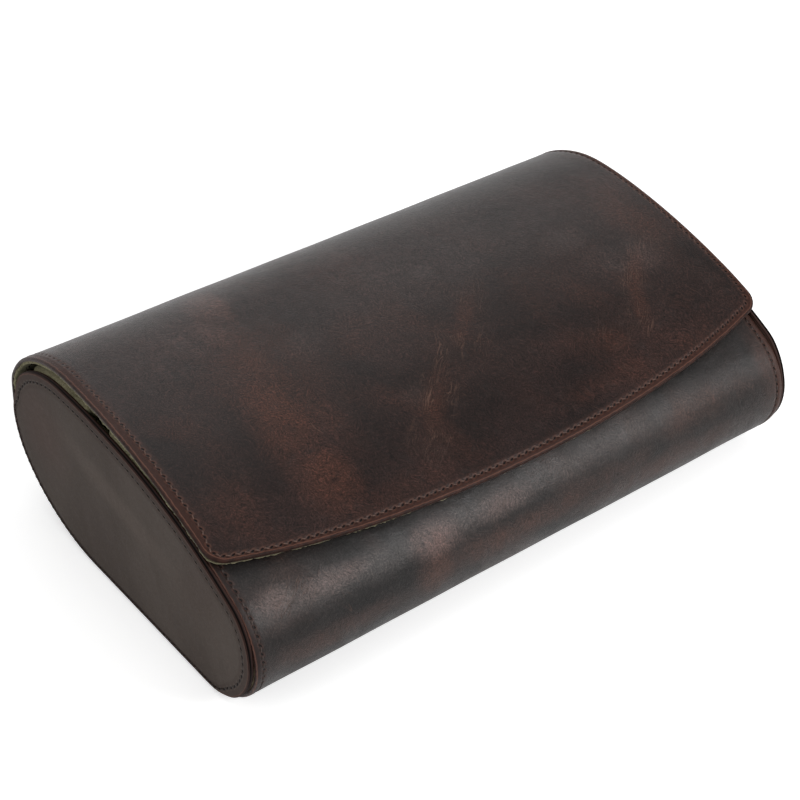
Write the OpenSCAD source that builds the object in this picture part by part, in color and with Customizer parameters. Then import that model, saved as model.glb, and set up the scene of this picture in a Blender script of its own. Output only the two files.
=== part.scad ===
// Travel case for ten watches.
// A leather tube of rounded section lies on its flat bottom, closed by two end panels and by a
// leather flap that folds over the top from the back and lies over the front lip.
// X runs along the case, -Y is the front, +Z is up. The origin is the middle of the footprint.
// The section turns through 360 degrees of "heading": 0 along the bottom towards the back, 90 straight
// up the back, 180 forwards over the top, 270 straight down the front. Lengths are millimetres.

/* [Case] */
// Length over the two end panels
case_l = 302; // [220:1:340]
// Thickness of the outer leather
leather_t = 1.8; // [1.4:0.1:2.4]
// Thickness of the stiffening board in the wrap
board_t = 1; // [0.6:0.1:1.4]
// Thickness of the suede over the board
suede_t = 1; // [0.8:0.1:1.6]
// Width of leather and suede left bare of board along every edge of the wrap and the flap
board_margin = 12; // [8:1:20]

/* [Section of the tube] */
// Radius where the back leaves the flat bottom
back_foot_r = 78; // [60:1:95]
// Radius of the lower back
back_low_r = 52; // [42:1:62]
// Radius below the back's furthest point
back_nose_low_r = 31; // [25:1:40]
// Radius above the back's furthest point
back_nose_high_r = 50; // [42:1:58]
// Radius of the back's shoulder
back_shoulder_r = 41; // [34:1:48]
// Radius where the shoulder meets the top
back_top_r = 62; // [50:1:70]
// Radius of the top, which falls towards the front
top_r = 245; // [225:1:265]
// Radius of the front's nose
front_nose_r = 30; // [26:1:33]

/* [Flap] */
// Heading of the fold line on the back
hinge_heading = 105; // [98:1:112]
// Thickness of the suede under the flap
flap_suede_t = 1.3; // [1:0.1:1.8]
// Height of the flap's face over the tube's section at the shoulder
flap_lift_shoulder = 4; // [3.9:0.1:5]
// Height of the flap's face over the section at the top
flap_lift_top = 5.8; // [5.6:0.1:7.5]
// Height of the flap's face over the section at the front
flap_lift_front = 6.4; // [6.1:0.1:7.5]
// Inset of the flap's sides from the faces of the end panels
flap_side_inset = 0.5; // [0.2:0.1:2]
// Distance from the flap's front edge, at its middle, to the case's front
flap_front_inset = 8; // [6:0.5:16]
// Depth of the arc along the flap's front edge
flap_front_sag = 16; // [6:0.5:20]
// Radius of the flap's front corners
flap_corner_r = 9; // [5:0.5:14]
// Heading of the front lip's edge, under the flap
lip_heading = 201; // [198:0.5:203]

/* [End panels] */
// Thickness of the leather end panels
panel_t = 2.5; // [2:0.1:3.5]
// Inset of an end panel's edge from the section along the bottom
panel_inset_bottom = 1.5; // [1:0.1:2.5]
// Inset of an end panel's edge at the top
panel_inset_top = 3.2; // [2.5:0.1:4.5]
// Inset of an end panel's edge at its front and back
panel_inset_side = 0.4; // [0.2:0.1:1]
// Thickness of the end boards
end_board_t = 2; // [1.5:0.1:3]
// Thickness of the padded suede on the end boards
end_pad_t = 3; // [2:0.1:4]
// Height that the padded suede stands above the end panel's edge, in the mouth
end_pad_rise = 1.6; // [0.6:0.1:1.8]
// Depth of the cut-outs in the end pads, below the section
pad_notch_depth = 10; // [7:0.5:14]
// Heading at which the cut-out beside the hinge ends
hinge_notch_end = 147; // [140:1:152]
// Heading in the middle of the finger notch
finger_notch_heading = 185.9; // [184:0.1:189]
// Width of the finger notch
finger_notch_w = 15; // [10:1:20]

/* [Magnets] */
// Number of magnet pairs along the closure
magnet_count = 3; // [2:1:5]
// Distance between neighbouring magnets
magnet_pitch = 95; // [30:1:110]
// Radius of a magnet
magnet_r = 8; // [5:0.5:9]
// Thickness of a magnet in the flap
flap_magnet_t = 2; // [1.5:0.1:2.1]
// Thickness of a magnet in the lip
lip_magnet_t = 1.5; // [1:0.1:1.6]
// Suede around and over a magnet in the flap
magnet_cover = 0.9; // [0.6:0.1:1]
// Heading of the magnets
magnet_heading = 206.5; // [205.5:0.1:207]

/* [Inside] */
// Height of the padded floor
floor_h = 12; // [11:0.5:18]
// Height of the dividers' top edges
divider_top = 58; // [45:1:60]
// Thickness of a divider
divider_t = 3; // [2:0.1:4]
// Number of cells in each row
cells = 5; // [3:1:6]

/* [Watch pillows] */
// Room between a pillow's ends and its cell, at each end
pillow_side_gap = 2; // [1:0.25:4]
// Size of a pillow from front to back
pillow_d = 70; // [60:1:72]
// Height of a pillow
pillow_h = 46; // [38:1:47]
// Distance from the case's middle to the middle of a row of pillows
row_y = 43.5; // [41:0.5:45]
// Share by which a pillow is drawn in at its ends
pillow_draw = 0.22; // [0.1:0.02:0.35]
// Extra height in the crown of a pillow
pillow_crown = 0.6; // [0:0.1:1]

/* [Clearances] */
// Gap across the fold line of the hinge
hinge_gap = 0.6; // [0.4:0.1:0.9]
// Distance of the hinge's axis outside the leather
hinge_proud = 0.5; // [0.3:0.1:0.8]
// Gap between parts that are only pushed into place
seat_gap = 0.3; // [0.2:0.05:0.5]
// Gap around a magnet in its pocket
pocket_gap = 0.15; // [0.05:0.05:0.3]

/* [Hidden] */
row_sides = ["front", "back"];

leather_brown = "#3a2822";
edge_brown = "#5a3226";
suede_olive = "#6a6243";
board_grey = "#a39a86";
magnet_grey = "#8c8f94";

// ---- the section: tangent arcs, each [heading where it ends, radius] ----
arc_start = [0, 30, 60, 90, 120, 150, 180, 210, 300];
arc_end = [30, 60, 90, 120, 150, 180, 210, 300, 360];
given_r = [back_foot_r, back_low_r, back_nose_low_r, back_nose_high_r, back_shoulder_r, back_top_r,
           top_r, front_nose_r];
function total(v, i = 0) = i == len(v) ? 0 : v[i] + total(v, i + 1);
// height gained, and distance gone towards the back, along an arc of radius 1
function rise(i) = cos(arc_start[i]) - cos(arc_end[i]);
function reach(i) = sin(arc_end[i]) - sin(arc_start[i]);
last = len(given_r);
// the front's foot has the radius that brings the outline back down to the flat bottom
front_foot_r = -total([for (i = [0 : last - 1]) given_r[i] * rise(i)]) / rise(last);
radii = concat(given_r, [front_foot_r]);
// and the flat bottom is as long as the arcs leave it
flat_d = -total([for (i = [0 : last]) radii[i] * reach(i)]);
// centre of arc i, counted from the back end of the flat bottom
function arc_centre(i) = i == 0 ? [0, radii[0]]
    : arc_centre(i - 1) + (radii[i - 1] - radii[i]) * normal(arc_start[i]);
function normal(h) = [sin(h), -cos(h)];
raw_centres = [for (i = [0 : last]) arc_centre(i)];
// the back is furthest out at heading 90, the front at heading 270
back_reach = raw_centres[2][0] + radii[2];
front_reach = raw_centres[7][0] - radii[7];
case_d = back_reach - front_reach;
shift = -(back_reach + front_reach) / 2;
centres = [for (c = raw_centres) c + [shift, 0]];
flat_mid = shift - flat_d / 2;
case_front = -case_d / 2;

// arc on which a heading from 0 to 360 lies
function arc_of(h, i = 0) = i == last || h < arc_end[i] ? i : arc_of(h, i + 1);
// point of the section at a heading, sunk by t below the leather's face; headings above 360 start again
function turn(h) = h > 360 ? h - 360 : h;
function on_section(h, t = 0) =
    let (i = arc_of(turn(h)))
    centres[i] + (radii[i] - t) * normal(h);

// headings at which the curves are cut into flats, about facet_l apart
facet_l = 4;
one_turn = [for (i = [0 : last])
    let (n = ceil(radii[i] * (arc_end[i] - arc_start[i]) * PI / 180 / facet_l))
    for (k = [0 : n - 1]) arc_start[i] + (arc_end[i] - arc_start[i]) * k / n];
two_turns = concat(one_turn, [for (h = one_turn) h + 360]);
function between(a, b) = concat([a], [for (h = two_turns) if (h > a + 0.4 && h < b - 0.4) h], [b]);

// height of the flap's face over the section, and of the wrap where it runs up into the flap
lift_starts = 80;
lift_table = [[lift_starts, 0], [125, flap_lift_shoulder], [180, flap_lift_top], [225, flap_lift_front]];
function lift(h) = lookup(h, lift_table);
function wrap_lift(h) = h > 360 ? lift(h - 360) : 0;

// ---- layers ----
wrap_board_in = leather_t + board_t;
wrap_t = wrap_board_in + suede_t;
flap_board_t = flap_suede_t / 2;
flap_t = leather_t + flap_suede_t;
wrap_end_x = case_l / 2 - panel_t;
flap_side_x = case_l / 2 - flap_side_inset;

// hinge axis, just outside the leather's face on the fold line
hinge_at = on_section(hinge_heading, -lift(hinge_heading) - hinge_proud);
// half the hinge's gap, as an angle on the arc of the fold line
hinge_half = hinge_gap / 2 / (radii[arc_of(hinge_heading)] + lift(hinge_heading)) * 180 / PI;
wrap_from = lip_heading;
wrap_to = 360 + hinge_heading - hinge_half;
flap_from = hinge_heading + hinge_half;
flap_to = 235;

// angle that a length takes on the arc at a heading
function angle_of(l, h) = l / radii[arc_of(turn(h))] * 180 / PI;
// first heading at which the curves are cut into flats, from h on
function next_flat(h) = [for (s = two_turns) if (s >= h) s][0];

// outline of a layer of the wrap between two depths and two headings
module wrap_layer(t_out, t_in, from, to, half_x) {
    hs = between(from, to);
    outer = [for (h = hs) on_section(h, t_out - wrap_lift(h))];
    inner = [for (k = [len(hs) - 1 : -1 : 0]) on_section(hs[k], t_in - wrap_lift(hs[k]))];
    along_x(half_x) polygon(concat(outer, inner));
}

// outline of a layer of the flap between two depths and two headings
module flap_layer(t_out, t_in, from, to, half_x) {
    hs = between(from, to);
    outer = [for (h = hs) on_section(h, t_out - lift(h))];
    inner = [for (k = [len(hs) - 1 : -1 : 0]) on_section(hs[k], t_in - lift(hs[k]))];
    along_x(half_x) polygon(concat(outer, inner));
}

// a shape drawn in (y, z), made a prism from -half_x to half_x
module along_x(half_x) {
    from_x_to(-half_x, half_x) children();
}

module from_x_to(x0, x1) {
    translate([x0, 0, 0])
        rotate([90, 0, 90])
            linear_extrude(x1 - x0) children();
}

// ---- plan of the flap, seen square to its front edge ----
plan_heading = 213;
flap_front_mid = case_front + flap_front_inset;
// heading at which the flap's face is that far forward
function face_y(h) = on_section(h, -lift(h))[0];
function heading_at_y(y, lo = 181, hi = 260, n = 24) =
    n == 0 ? (lo + hi) / 2
    : face_y((lo + hi) / 2) > y ? heading_at_y(y, (lo + hi) / 2, hi, n - 1)
    : heading_at_y(y, lo, (lo + hi) / 2, n - 1);
front_edge_heading = heading_at_y(flap_front_mid);
front_edge = on_section(front_edge_heading, -lift(front_edge_heading));
// distance of the front edge's middle from the origin, along the plan
front_reach_plan = front_edge * [cos(plan_heading), sin(plan_heading)];
arc_sides = 24;
corner_sides = 6;

module flap_plan(margin) {
    w = flap_side_x - margin;
    front = front_reach_plan - margin;
    big_r = (flap_side_x * flap_side_x + flap_front_sag * flap_front_sag) / (2 * flap_front_sag) - margin;
    r = max(flap_corner_r - margin, 1);
    corner = [w - r, big_r - front - sqrt(pow(big_r - r, 2) - pow(w - r, 2))];
    half_sweep = asin(corner[0] / (big_r - r));
    corner_pts = [for (k = [0 : corner_sides])
        let (a = (90 - half_sweep) * k / corner_sides)
        corner + r * [cos(a), -sin(a)]];
    arc_pts = [for (k = [1 : arc_sides - 1])
        let (a = half_sweep * (1 - 2 * k / arc_sides))
        [big_r * sin(a), big_r - front - big_r * cos(a)]];
    right = concat([[w, plan_back]], corner_pts);
    left = [for (k = [len(right) - 1 : -1 : 0]) [-right[k][0], right[k][1]]];
    rotate([plan_heading - 180, 0, 0])
        translate([0, 0, -plan_back])
            linear_extrude(2 * plan_back)
                polygon(concat(right, arc_pts, left));
}
plan_back = case_d;

// ---- magnets, square to the section at their heading ----
module at_magnets(depth) {
    first = -(magnet_count - 1) / 2;
    at = on_section(magnet_heading, depth);
    for (k = [0 : magnet_count - 1])
        translate([(first + k) * magnet_pitch, at[0], at[1]])
            rotate([magnet_heading, 0, 0])
                children();
}

magnet_lift = lift(magnet_heading);
// depth by which a flat magnet lies deeper than the curved sheet over it
magnet_sag = pow(magnet_r + pocket_gap, 2) / (2 * radii[arc_of(magnet_heading)]) + pocket_gap / 2;
// depths of the magnets' outer faces, below the flap's face and below the wrap's face
flap_magnet_depth = leather_t + flap_board_t + magnet_sag;
lip_magnet_depth = leather_t + magnet_sag;

// discs of radius r that reach from z0 to z1 below a magnet's outer face
module flap_magnet_blank(r, z0, z1) {
    at_magnets(flap_magnet_depth - magnet_lift)
        translate([0, 0, z0]) cylinder(r = r, h = z1 - z0, $fn = 48);
}

module lip_magnet_blank(r, z0, z1) {
    at_magnets(lip_magnet_depth)
        translate([0, 0, z0]) cylinder(r = r, h = z1 - z0, $fn = 48);
}

// ---- wrap ----
module outer_wrap() {
    color(leather_brown)
        wrap_layer(0, leather_t, wrap_from, wrap_to, wrap_end_x);
}

module wrap_board_blank() {
    from = next_flat(magnet_heading + angle_of(magnet_r + board_margin / 2, magnet_heading));
    to = next_flat(wrap_to - angle_of(board_margin, hinge_heading));
    wrap_layer(leather_t, wrap_board_in, from, to, wrap_end_x - board_margin);
}

module wrap_board() {
    color(board_grey)
        wrap_board_blank();
}

module wrap_lining() {
    color(suede_olive)
        difference() {
            wrap_layer(leather_t, wrap_t, wrap_from, wrap_to, wrap_end_x);
            wrap_board_blank();
            lip_magnet_blank(magnet_r + pocket_gap, -2 * magnet_sag, lip_magnet_t + pocket_gap);
        }
}

module lip_magnets() {
    color(magnet_grey)
        lip_magnet_blank(magnet_r, 0, lip_magnet_t);
}

// ---- end panels ----
panel_inset_table = [[0, panel_inset_bottom], [130, panel_inset_side], [180, panel_inset_top],
                     [220, panel_inset_side], [260, panel_inset_side], [300, panel_inset_bottom],
                     [360, panel_inset_bottom]];
// inset of the flap's underside from the section, negative above it
function flap_under(h) = flap_t - lift(h);
// in the mouth, from just behind the fold line to the lip, the end pieces stay clear of the flap
mouth_from = hinge_heading - 4;
function in_mouth(h) = h > mouth_from && h < lip_heading;
function clear_of_flap(h) = in_mouth(h) ? flap_under(h) + 2 * seat_gap : 0;
function panel_inset(h) = max(lookup(h, panel_inset_table), clear_of_flap(h));

// the boards and pads fit inside the lining, and in the mouth they follow the end panel
inner_t = wrap_t + seat_gap;
finger_half = angle_of(finger_notch_w / 2, finger_notch_heading);
finger_from = finger_notch_heading - finger_half;
finger_to = finger_notch_heading + finger_half;
// share of the way from the lining to the end panel's edge
function mouth_share(h) = lookup(h, [[lip_heading - 5, 1], [lip_heading - 1, 0]]);
function end_inset(h, top_rise) =
    in_mouth(h) && (h < hinge_notch_end || (h > finger_from && h < finger_to)) ? pad_notch_depth
    : in_mouth(h) ? max(inner_t * (1 - mouth_share(h)) + (panel_inset(h) - top_rise) * mouth_share(h),
                        clear_of_flap(h))
    : inner_t;
// headings of the end pads' outline, with both sides of every cut-out
side_step = 0.1;
pad_turn = concat(
    between(0, mouth_from), [mouth_from + side_step],
    between(mouth_from + 2 * side_step, hinge_notch_end - side_step),
    between(hinge_notch_end, finger_from), between(finger_from + side_step, finger_to - side_step),
    between(finger_to, 360 - side_step));

module end_outline(top_rise) {
    polygon([for (h = pad_turn) on_section(h, end_inset(h, top_rise))]);
}

// side is -1 at the left end and 1 at the right
module end_slab(side, x_out, t) {
    if (side < 0) from_x_to(-x_out, -x_out + t) children();
    else from_x_to(x_out - t, x_out) children();
}

module end_panel(side) {
    color(edge_brown)
        end_slab(side, case_l / 2, panel_t)
            polygon([for (h = one_turn) on_section(h, panel_inset(h))]);
}

module end_board(side) {
    color(board_grey)
        end_slab(side, wrap_end_x, end_board_t) end_outline(0);
}

module end_lining(side) {
    color(suede_olive)
        end_slab(side, wrap_end_x - end_board_t, end_pad_t) end_outline(end_pad_rise);
}

// ---- floor and dividers ----
inside_x = wrap_end_x - end_board_t - end_pad_t;

module inner_section(z0, z1) {
    intersection() {
        polygon([for (h = one_turn) on_section(h, inner_t)]);
        translate([-case_d / 2, z0]) square([case_d, z1 - z0]);
    }
}

module floor_pad() {
    color(suede_olive)
        along_x(inside_x - seat_gap) inner_section(0, floor_h);
}

cell_l = (2 * inside_x - (cells - 1) * divider_t) / cells;
function cell_x(i) = -inside_x + cell_l / 2 + (i - 1) * (cell_l + divider_t);
function divider_x(i) = cell_x(i) + (cell_l + divider_t) / 2;
slot_w = divider_t + seat_gap;
half_h = (floor_h + divider_top) / 2;

module centre_divider() {
    color(suede_olive)
        difference() {
            translate([-inside_x + seat_gap, -divider_t / 2, floor_h])
                cube([2 * (inside_x - seat_gap), divider_t, divider_top - floor_h]);
            for (i = [1 : cells - 1])
                translate([divider_x(i) - slot_w / 2, -divider_t, half_h])
                    cube([slot_w, 2 * divider_t, divider_top]);
        }
}

module cross_divider(i) {
    color(suede_olive)
        translate([divider_x(i), 0, 0])
            along_x(divider_t / 2)
                difference() {
                    inner_section(floor_h, divider_top);
                    translate([-slot_w / 2, 0]) square([slot_w, half_h]);
                }
}

// ---- flap ----
module flap_leather() {
    color(leather_brown)
        intersection() {
            flap_layer(0, leather_t, flap_from, flap_to, flap_side_x + 1);
            flap_plan(0);
        }
}

module flap_board_blank() {
    intersection() {
        flap_layer(leather_t, leather_t + flap_board_t,
                   next_flat(flap_from + angle_of(board_margin, hinge_heading)), flap_to, flap_side_x + 1);
        flap_plan(board_margin);
    }
}

module flap_board() {
    color(board_grey)
        flap_board_blank();
}

module flap_lining() {
    color(suede_olive)
        difference() {
            union() {
                intersection() {
                    flap_layer(leather_t, flap_t, flap_from, flap_to, flap_side_x + 1);
                    flap_plan(0);
                }
                flap_magnet_blank(magnet_r + 2 * magnet_cover, 0, flap_magnet_t + magnet_cover);
            }
            flap_board_blank();
            flap_magnet_blank(magnet_r + pocket_gap, -flap_board_t - 2 * magnet_sag,
                              flap_magnet_t + pocket_gap);
        }
}

module flap_magnets() {
    color(magnet_grey)
        flap_magnet_blank(magnet_r, 0, flap_magnet_t);
}

// ---- watch pillows ----
pillow_l = cell_l - 2 * pillow_side_gap;
pillow_z = floor_h + seat_gap + pillow_h / 2;
pillow_power = 2.4;
ring_sides = 24;
ring_places = [-1, -0.93, -0.75, -0.35, 0.35, 0.75, 0.93, 1];

function power_of(v) = sign(v) * pow(abs(v), 2 / pillow_power);
// size of the ring at a share u of the half length: crowned in the middle, drawn in at the ends
function ring_size(u) = 1 - pillow_draw * pow(abs(u), 8);
function ring_point(u, a) = [
    u * pillow_l / 2,
    ring_size(u) * power_of(cos(a)) * pillow_d / 2,
    ring_size(u) * power_of(sin(a)) * pillow_h / 2 + (sin(a) > 0.9 ? pillow_crown * (1 - u * u) : 0)];

module pillow_form() {
    rings = len(ring_places);
    points = [for (u = ring_places, k = [0 : ring_sides - 1]) ring_point(u, k * 360 / ring_sides)];
    side_faces = [for (j = [0 : rings - 2], k = [0 : ring_sides - 1])
        let (a = j * ring_sides + k, b = j * ring_sides + (k + 1) % ring_sides)
        each [[a, a + ring_sides, b], [b, a + ring_sides, b + ring_sides]]];
    first_cap = [for (k = [1 : ring_sides - 2]) [0, k, k + 1]];
    top = (rings - 1) * ring_sides;
    last_cap = [for (k = [1 : ring_sides - 2]) [top, top + k + 1, top + k]];
    polyhedron(points, concat(side_faces, first_cap, last_cap), convexity = 2);
}

module pillow(side, i) {
    color(suede_olive)
        translate([cell_x(i), side == "front" ? -row_y : row_y, pillow_z])
            pillow_form();
}

outer_wrap();
wrap_board();
wrap_lining();
lip_magnets();
end_panel(-1);  // left_end_panel
end_board(-1);  // left_end_board
end_lining(-1);  // left_end_lining
end_panel(1);  // right_end_panel
end_board(1);  // right_end_board
end_lining(1);  // right_end_lining
floor_pad();
centre_divider();
flap_leather();
flap_board();
flap_lining();
flap_magnets();
for (i = [1 : cells - 1])
    cross_divider(i);
for (side = row_sides, i = [1 : cells])
    pillow(side, i);
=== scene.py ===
"""Looks of the watch travel case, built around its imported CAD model.

Lengths are millimetres up to the moment a mesh is made, which is in metres.
A sheet of leather or suede is laid out flat first: x along the case, u along the tube's section,
from the fold line (u = 0) forwards over the top, and backwards down the back and under the case.
t is the depth below the leather's face. A heading, in degrees, is the way the section's outline runs:
0 along the bottom to the back, 90 up the back, 180 over the top to the front, 270 down the front.
"""

import math

import bmesh
import bpy
import numpy as np
from mathutils import Matrix, Vector
from mathutils.geometry import delaunay_2d_cdt


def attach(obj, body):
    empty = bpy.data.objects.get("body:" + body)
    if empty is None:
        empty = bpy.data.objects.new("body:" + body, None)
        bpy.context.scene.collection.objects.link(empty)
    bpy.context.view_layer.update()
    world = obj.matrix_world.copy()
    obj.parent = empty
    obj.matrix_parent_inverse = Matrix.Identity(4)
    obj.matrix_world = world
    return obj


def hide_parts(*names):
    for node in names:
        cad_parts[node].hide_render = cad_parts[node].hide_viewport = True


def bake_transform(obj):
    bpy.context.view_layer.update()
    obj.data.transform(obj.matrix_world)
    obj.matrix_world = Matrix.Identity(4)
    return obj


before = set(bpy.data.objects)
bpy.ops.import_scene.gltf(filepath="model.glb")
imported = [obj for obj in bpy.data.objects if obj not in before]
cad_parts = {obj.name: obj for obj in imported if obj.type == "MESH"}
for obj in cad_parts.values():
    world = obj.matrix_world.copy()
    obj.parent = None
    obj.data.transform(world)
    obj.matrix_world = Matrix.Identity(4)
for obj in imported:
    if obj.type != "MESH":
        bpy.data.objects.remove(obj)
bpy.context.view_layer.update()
MM = 0.001

# ---- sizes, as in the CAD source ----
CASE_L = 302.0
LEATHER_T, BOARD_T, SUEDE_T, FLAP_SUEDE_T = 1.8, 1.0, 1.0, 1.3
WRAP_T = LEATHER_T + BOARD_T + SUEDE_T
FLAP_T = LEATHER_T + FLAP_SUEDE_T
PANEL_T, END_BOARD_T, END_PAD_T = 2.5, 2.0, 3.0
WRAP_X = CASE_L / 2 - PANEL_T
FLAP_SIDE_INSET = 0.5
FLAP_X = CASE_L / 2 - FLAP_SIDE_INSET
INSIDE_X = WRAP_X - END_BOARD_T - END_PAD_T
HINGE_HEADING, LIP_HEADING, PLAN_HEADING = 105.0, 201.0, 213.0
FLAP_FRONT_INSET, FLAP_SAG, FLAP_CORNER_R = 8.0, 16.0, 9.0
FLOOR_H, DIVIDER_TOP, DIVIDER_T, CELLS = 12.0, 58.0, 3.0, 5
PILLOW_D, PILLOW_H, ROW_Y, PILLOW_SIDE_GAP = 70.0, 46.0, 43.5, 2.0
SEAT_GAP = 0.3
CELL_L = (2 * INSIDE_X - (CELLS - 1) * DIVIDER_T) / CELLS

# ---- the tube's section: tangent arcs ----
ARC_START = np.array([0, 30, 60, 90, 120, 150, 180, 210, 300], float)
ARC_END = np.array([30, 60, 90, 120, 150, 180, 210, 300, 360], float)
GIVEN_R = [78.0, 52.0, 31.0, 50.0, 41.0, 62.0, 245.0, 30.0]
BACK_ARC, TOP_ARC, FRONT_ARC = 2, 6, 7
RISE = np.cos(np.radians(ARC_START)) - np.cos(np.radians(ARC_END))
RADII = np.array(GIVEN_R + [-(np.array(GIVEN_R) @ RISE[:-1]) / RISE[-1]])
# how far the flap lies over the section, by heading
LIFT_H, LIFT_V = [80, 125, 180, 225], [0.0, 4.0, 5.8, 6.4]
FLAT_MID_Y = -12.2
# headings, with 360 added, between which the flap's front edge lies
FLAP_FRONT_FROM, FLAP_END = 541, 597


def normal(head):
    rad = np.radians(head)
    return np.stack([np.sin(rad), -np.cos(rad)], -1)


def arc_centres():
    c = [np.array([0.0, RADII[0]])]
    for i in range(1, len(RADII)):
        c.append(c[-1] + (RADII[i - 1] - RADII[i]) * normal(ARC_START[i]))
    c = np.array(c)
    back, front = c[BACK_ARC, 0] + RADII[BACK_ARC], c[FRONT_ARC, 0] - RADII[FRONT_ARC]
    return c - [(back + front) / 2, 0]


CENTRES = arc_centres()
CASE_FRONT = CENTRES[FRONT_ARC, 0] - RADII[FRONT_ARC]


def on_section(head, t=0.0):
    """Points (y, z) of the section at headings, sunk by t; headings over 360 start again."""
    h = np.atleast_1d(np.asarray(head, float))
    h = np.where(h > 360, h - 360, h)
    i = np.clip(np.searchsorted(ARC_END, h), 0, len(RADII) - 1)
    return CENTRES[i] + (RADII[i] - t)[:, None] * normal(h)


# ---- curves and outlines, as rows of points ----
def smoothstep(v, lo, hi):
    s = np.clip((np.asarray(v, float) - lo) / (hi - lo), 0, 1)
    return s * s * (3 - 2 * s)


def hump(v, at, width):
    """A bell curve, 1 high."""
    return np.exp(-((v - at) / width) ** 2)


def lengths(row):
    """Distances along an open row of points."""
    return np.concatenate([[0], np.cumsum(np.hypot(*np.diff(row, axis=0).T))])


def resample(loop, step, closed=True):
    """The loop's points at even steps."""
    p = np.vstack([loop, loop[:1]]) if closed else np.asarray(loop, float)
    s = lengths(p)
    n = max(8, int(round(s[-1] / step)))
    at = np.linspace(0, s[-1], n + 1)
    at = at[:-1] if closed else at
    return np.c_[np.interp(at, s, p[:, 0]), np.interp(at, s, p[:, 1])]


def soften(loop, window):
    """A closed loop with its corners rounded over a window."""
    step = 0.4
    p = resample(loop, step)
    k = int(window / step / 2) * 2 + 1
    w = np.hanning(k + 2)[1:-1]
    wide = np.vstack([p[-(k // 2):], p, p[:k // 2]])
    return np.stack([np.convolve(c, w / w.sum(), "valid") for c in wide.T], -1)


def inward(loop, closed=True):
    """Unit normals into a loop that runs anticlockwise."""
    d = np.roll(loop, -1, 0) - np.roll(loop, 1, 0) if closed else np.gradient(loop, axis=0)
    n = np.c_[-d[:, 1], d[:, 0]]
    return n / np.maximum(np.hypot(*n.T), 1e-9)[:, None]


def arc(centre, r, a0, a1, n):
    a = np.radians(np.linspace(a0, a1, n))
    return np.c_[centre[0] + r * np.cos(a), centre[1] + r * np.sin(a)]


class Line:
    """The leather's face in section, from the front lip, down and under, up the back, over the top."""

    step = 0.25
    window = 14.0

    def __init__(self):
        self.head = np.concatenate([np.arange(LIP_HEADING - 0.5, 360, 0.1), np.arange(360.01, FLAP_END, 0.1)])
        up = np.interp(self.head - 360, LIFT_H, LIFT_V, left=0.0)
        raw = on_section(self.head, -np.where(self.head > 360, up, 0.0))
        u = lengths(raw)
        even = np.arange(0, u[-1], self.step)
        y, z = np.interp(even, u, raw[:, 0]), np.interp(even, u, raw[:, 1])
        angle = np.unwrap(np.arctan2(np.gradient(z), np.gradient(y)))
        half = int(self.window / 2 / self.step)
        w = np.hanning(2 * half + 3)[1:-1]
        angle = np.convolve(np.pad(angle, half, "reflect", reflect_type="odd"), w / w.sum(), "valid")
        mid = int(np.argmin(np.hypot(y - FLAT_MID_Y, z)))
        cy, cz = np.cumsum(np.cos(angle)) * self.step, np.cumsum(np.sin(angle)) * self.step
        self.y, self.z = cy - cy[mid] + y[mid], cz - cz[mid] + z[mid]
        self.ny, self.nz = np.sin(angle), -np.cos(angle)
        fold = np.interp(360 + HINGE_HEADING, self.head, u)
        self.u, self.head_u = even - fold, u - fold
        self.split = self.u[mid]
        self.lip = self.u_of(LIP_HEADING)

    def u_of(self, head):
        """u at a heading, with 360 added to it behind the bottom's middle."""
        return float(np.interp(head, self.head, self.head_u))

    def at(self, u, t):
        """(y, z) of points at u and depth t."""
        y, z, ny, nz = (np.interp(u, self.u, v) for v in (self.y, self.z, self.ny, self.nz))
        return y - t * ny, z - t * nz

    def place(self, ab, t):
        y, z = self.at(ab[:, 1], t)
        return np.c_[ab[:, 0], y, z]


LINE = Line()
SEAM_D, FAR_D, PITCH = 4.0, 30.0, 4.0


# ---- meshes ----
def link(name, data):
    """A new object in the scene."""
    obj = bpy.data.objects.new(name, data)
    bpy.context.scene.collection.objects.link(obj)
    return obj


def give_vectors(mesh, name, values):
    """Writes a vector for each point, which the materials read by name."""
    a = mesh.attributes.new(name, "FLOAT_VECTOR", "POINT")
    a.data.foreach_set("vector", np.asarray(values, np.float32).ravel())


def shade_smooth(mesh):
    mesh.polygons.foreach_set("use_smooth", [True] * len(mesh.polygons))


def new_mesh(name, verts_mm, faces, material, **vectors):
    mesh = bpy.data.meshes.new(name)
    mesh.from_pydata((np.asarray(verts_mm) * MM).tolist(), [], faces)
    for key, values in vectors.items():
        give_vectors(mesh, key, values)
    bm = bmesh.new()
    bm.from_mesh(mesh)
    bmesh.ops.recalc_face_normals(bm, faces=bm.faces)
    bm.to_mesh(mesh)
    bm.free()
    shade_smooth(mesh)
    mesh.materials.append(material)
    return link(name, mesh)


def tube_faces(rings, n, base=0):
    """Faces between rings of n points each, and a cap at both ends."""
    faces = []
    for start in range(base, base + (rings - 1) * n, n):
        for i in range(n):
            v, x = start + i, start + (i + 1) % n
            faces.append((v, x, x + n, v + n))
    last = base + (rings - 1) * n
    return faces + [list(range(base, base + n))[::-1], list(range(last, last + n))]


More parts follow.
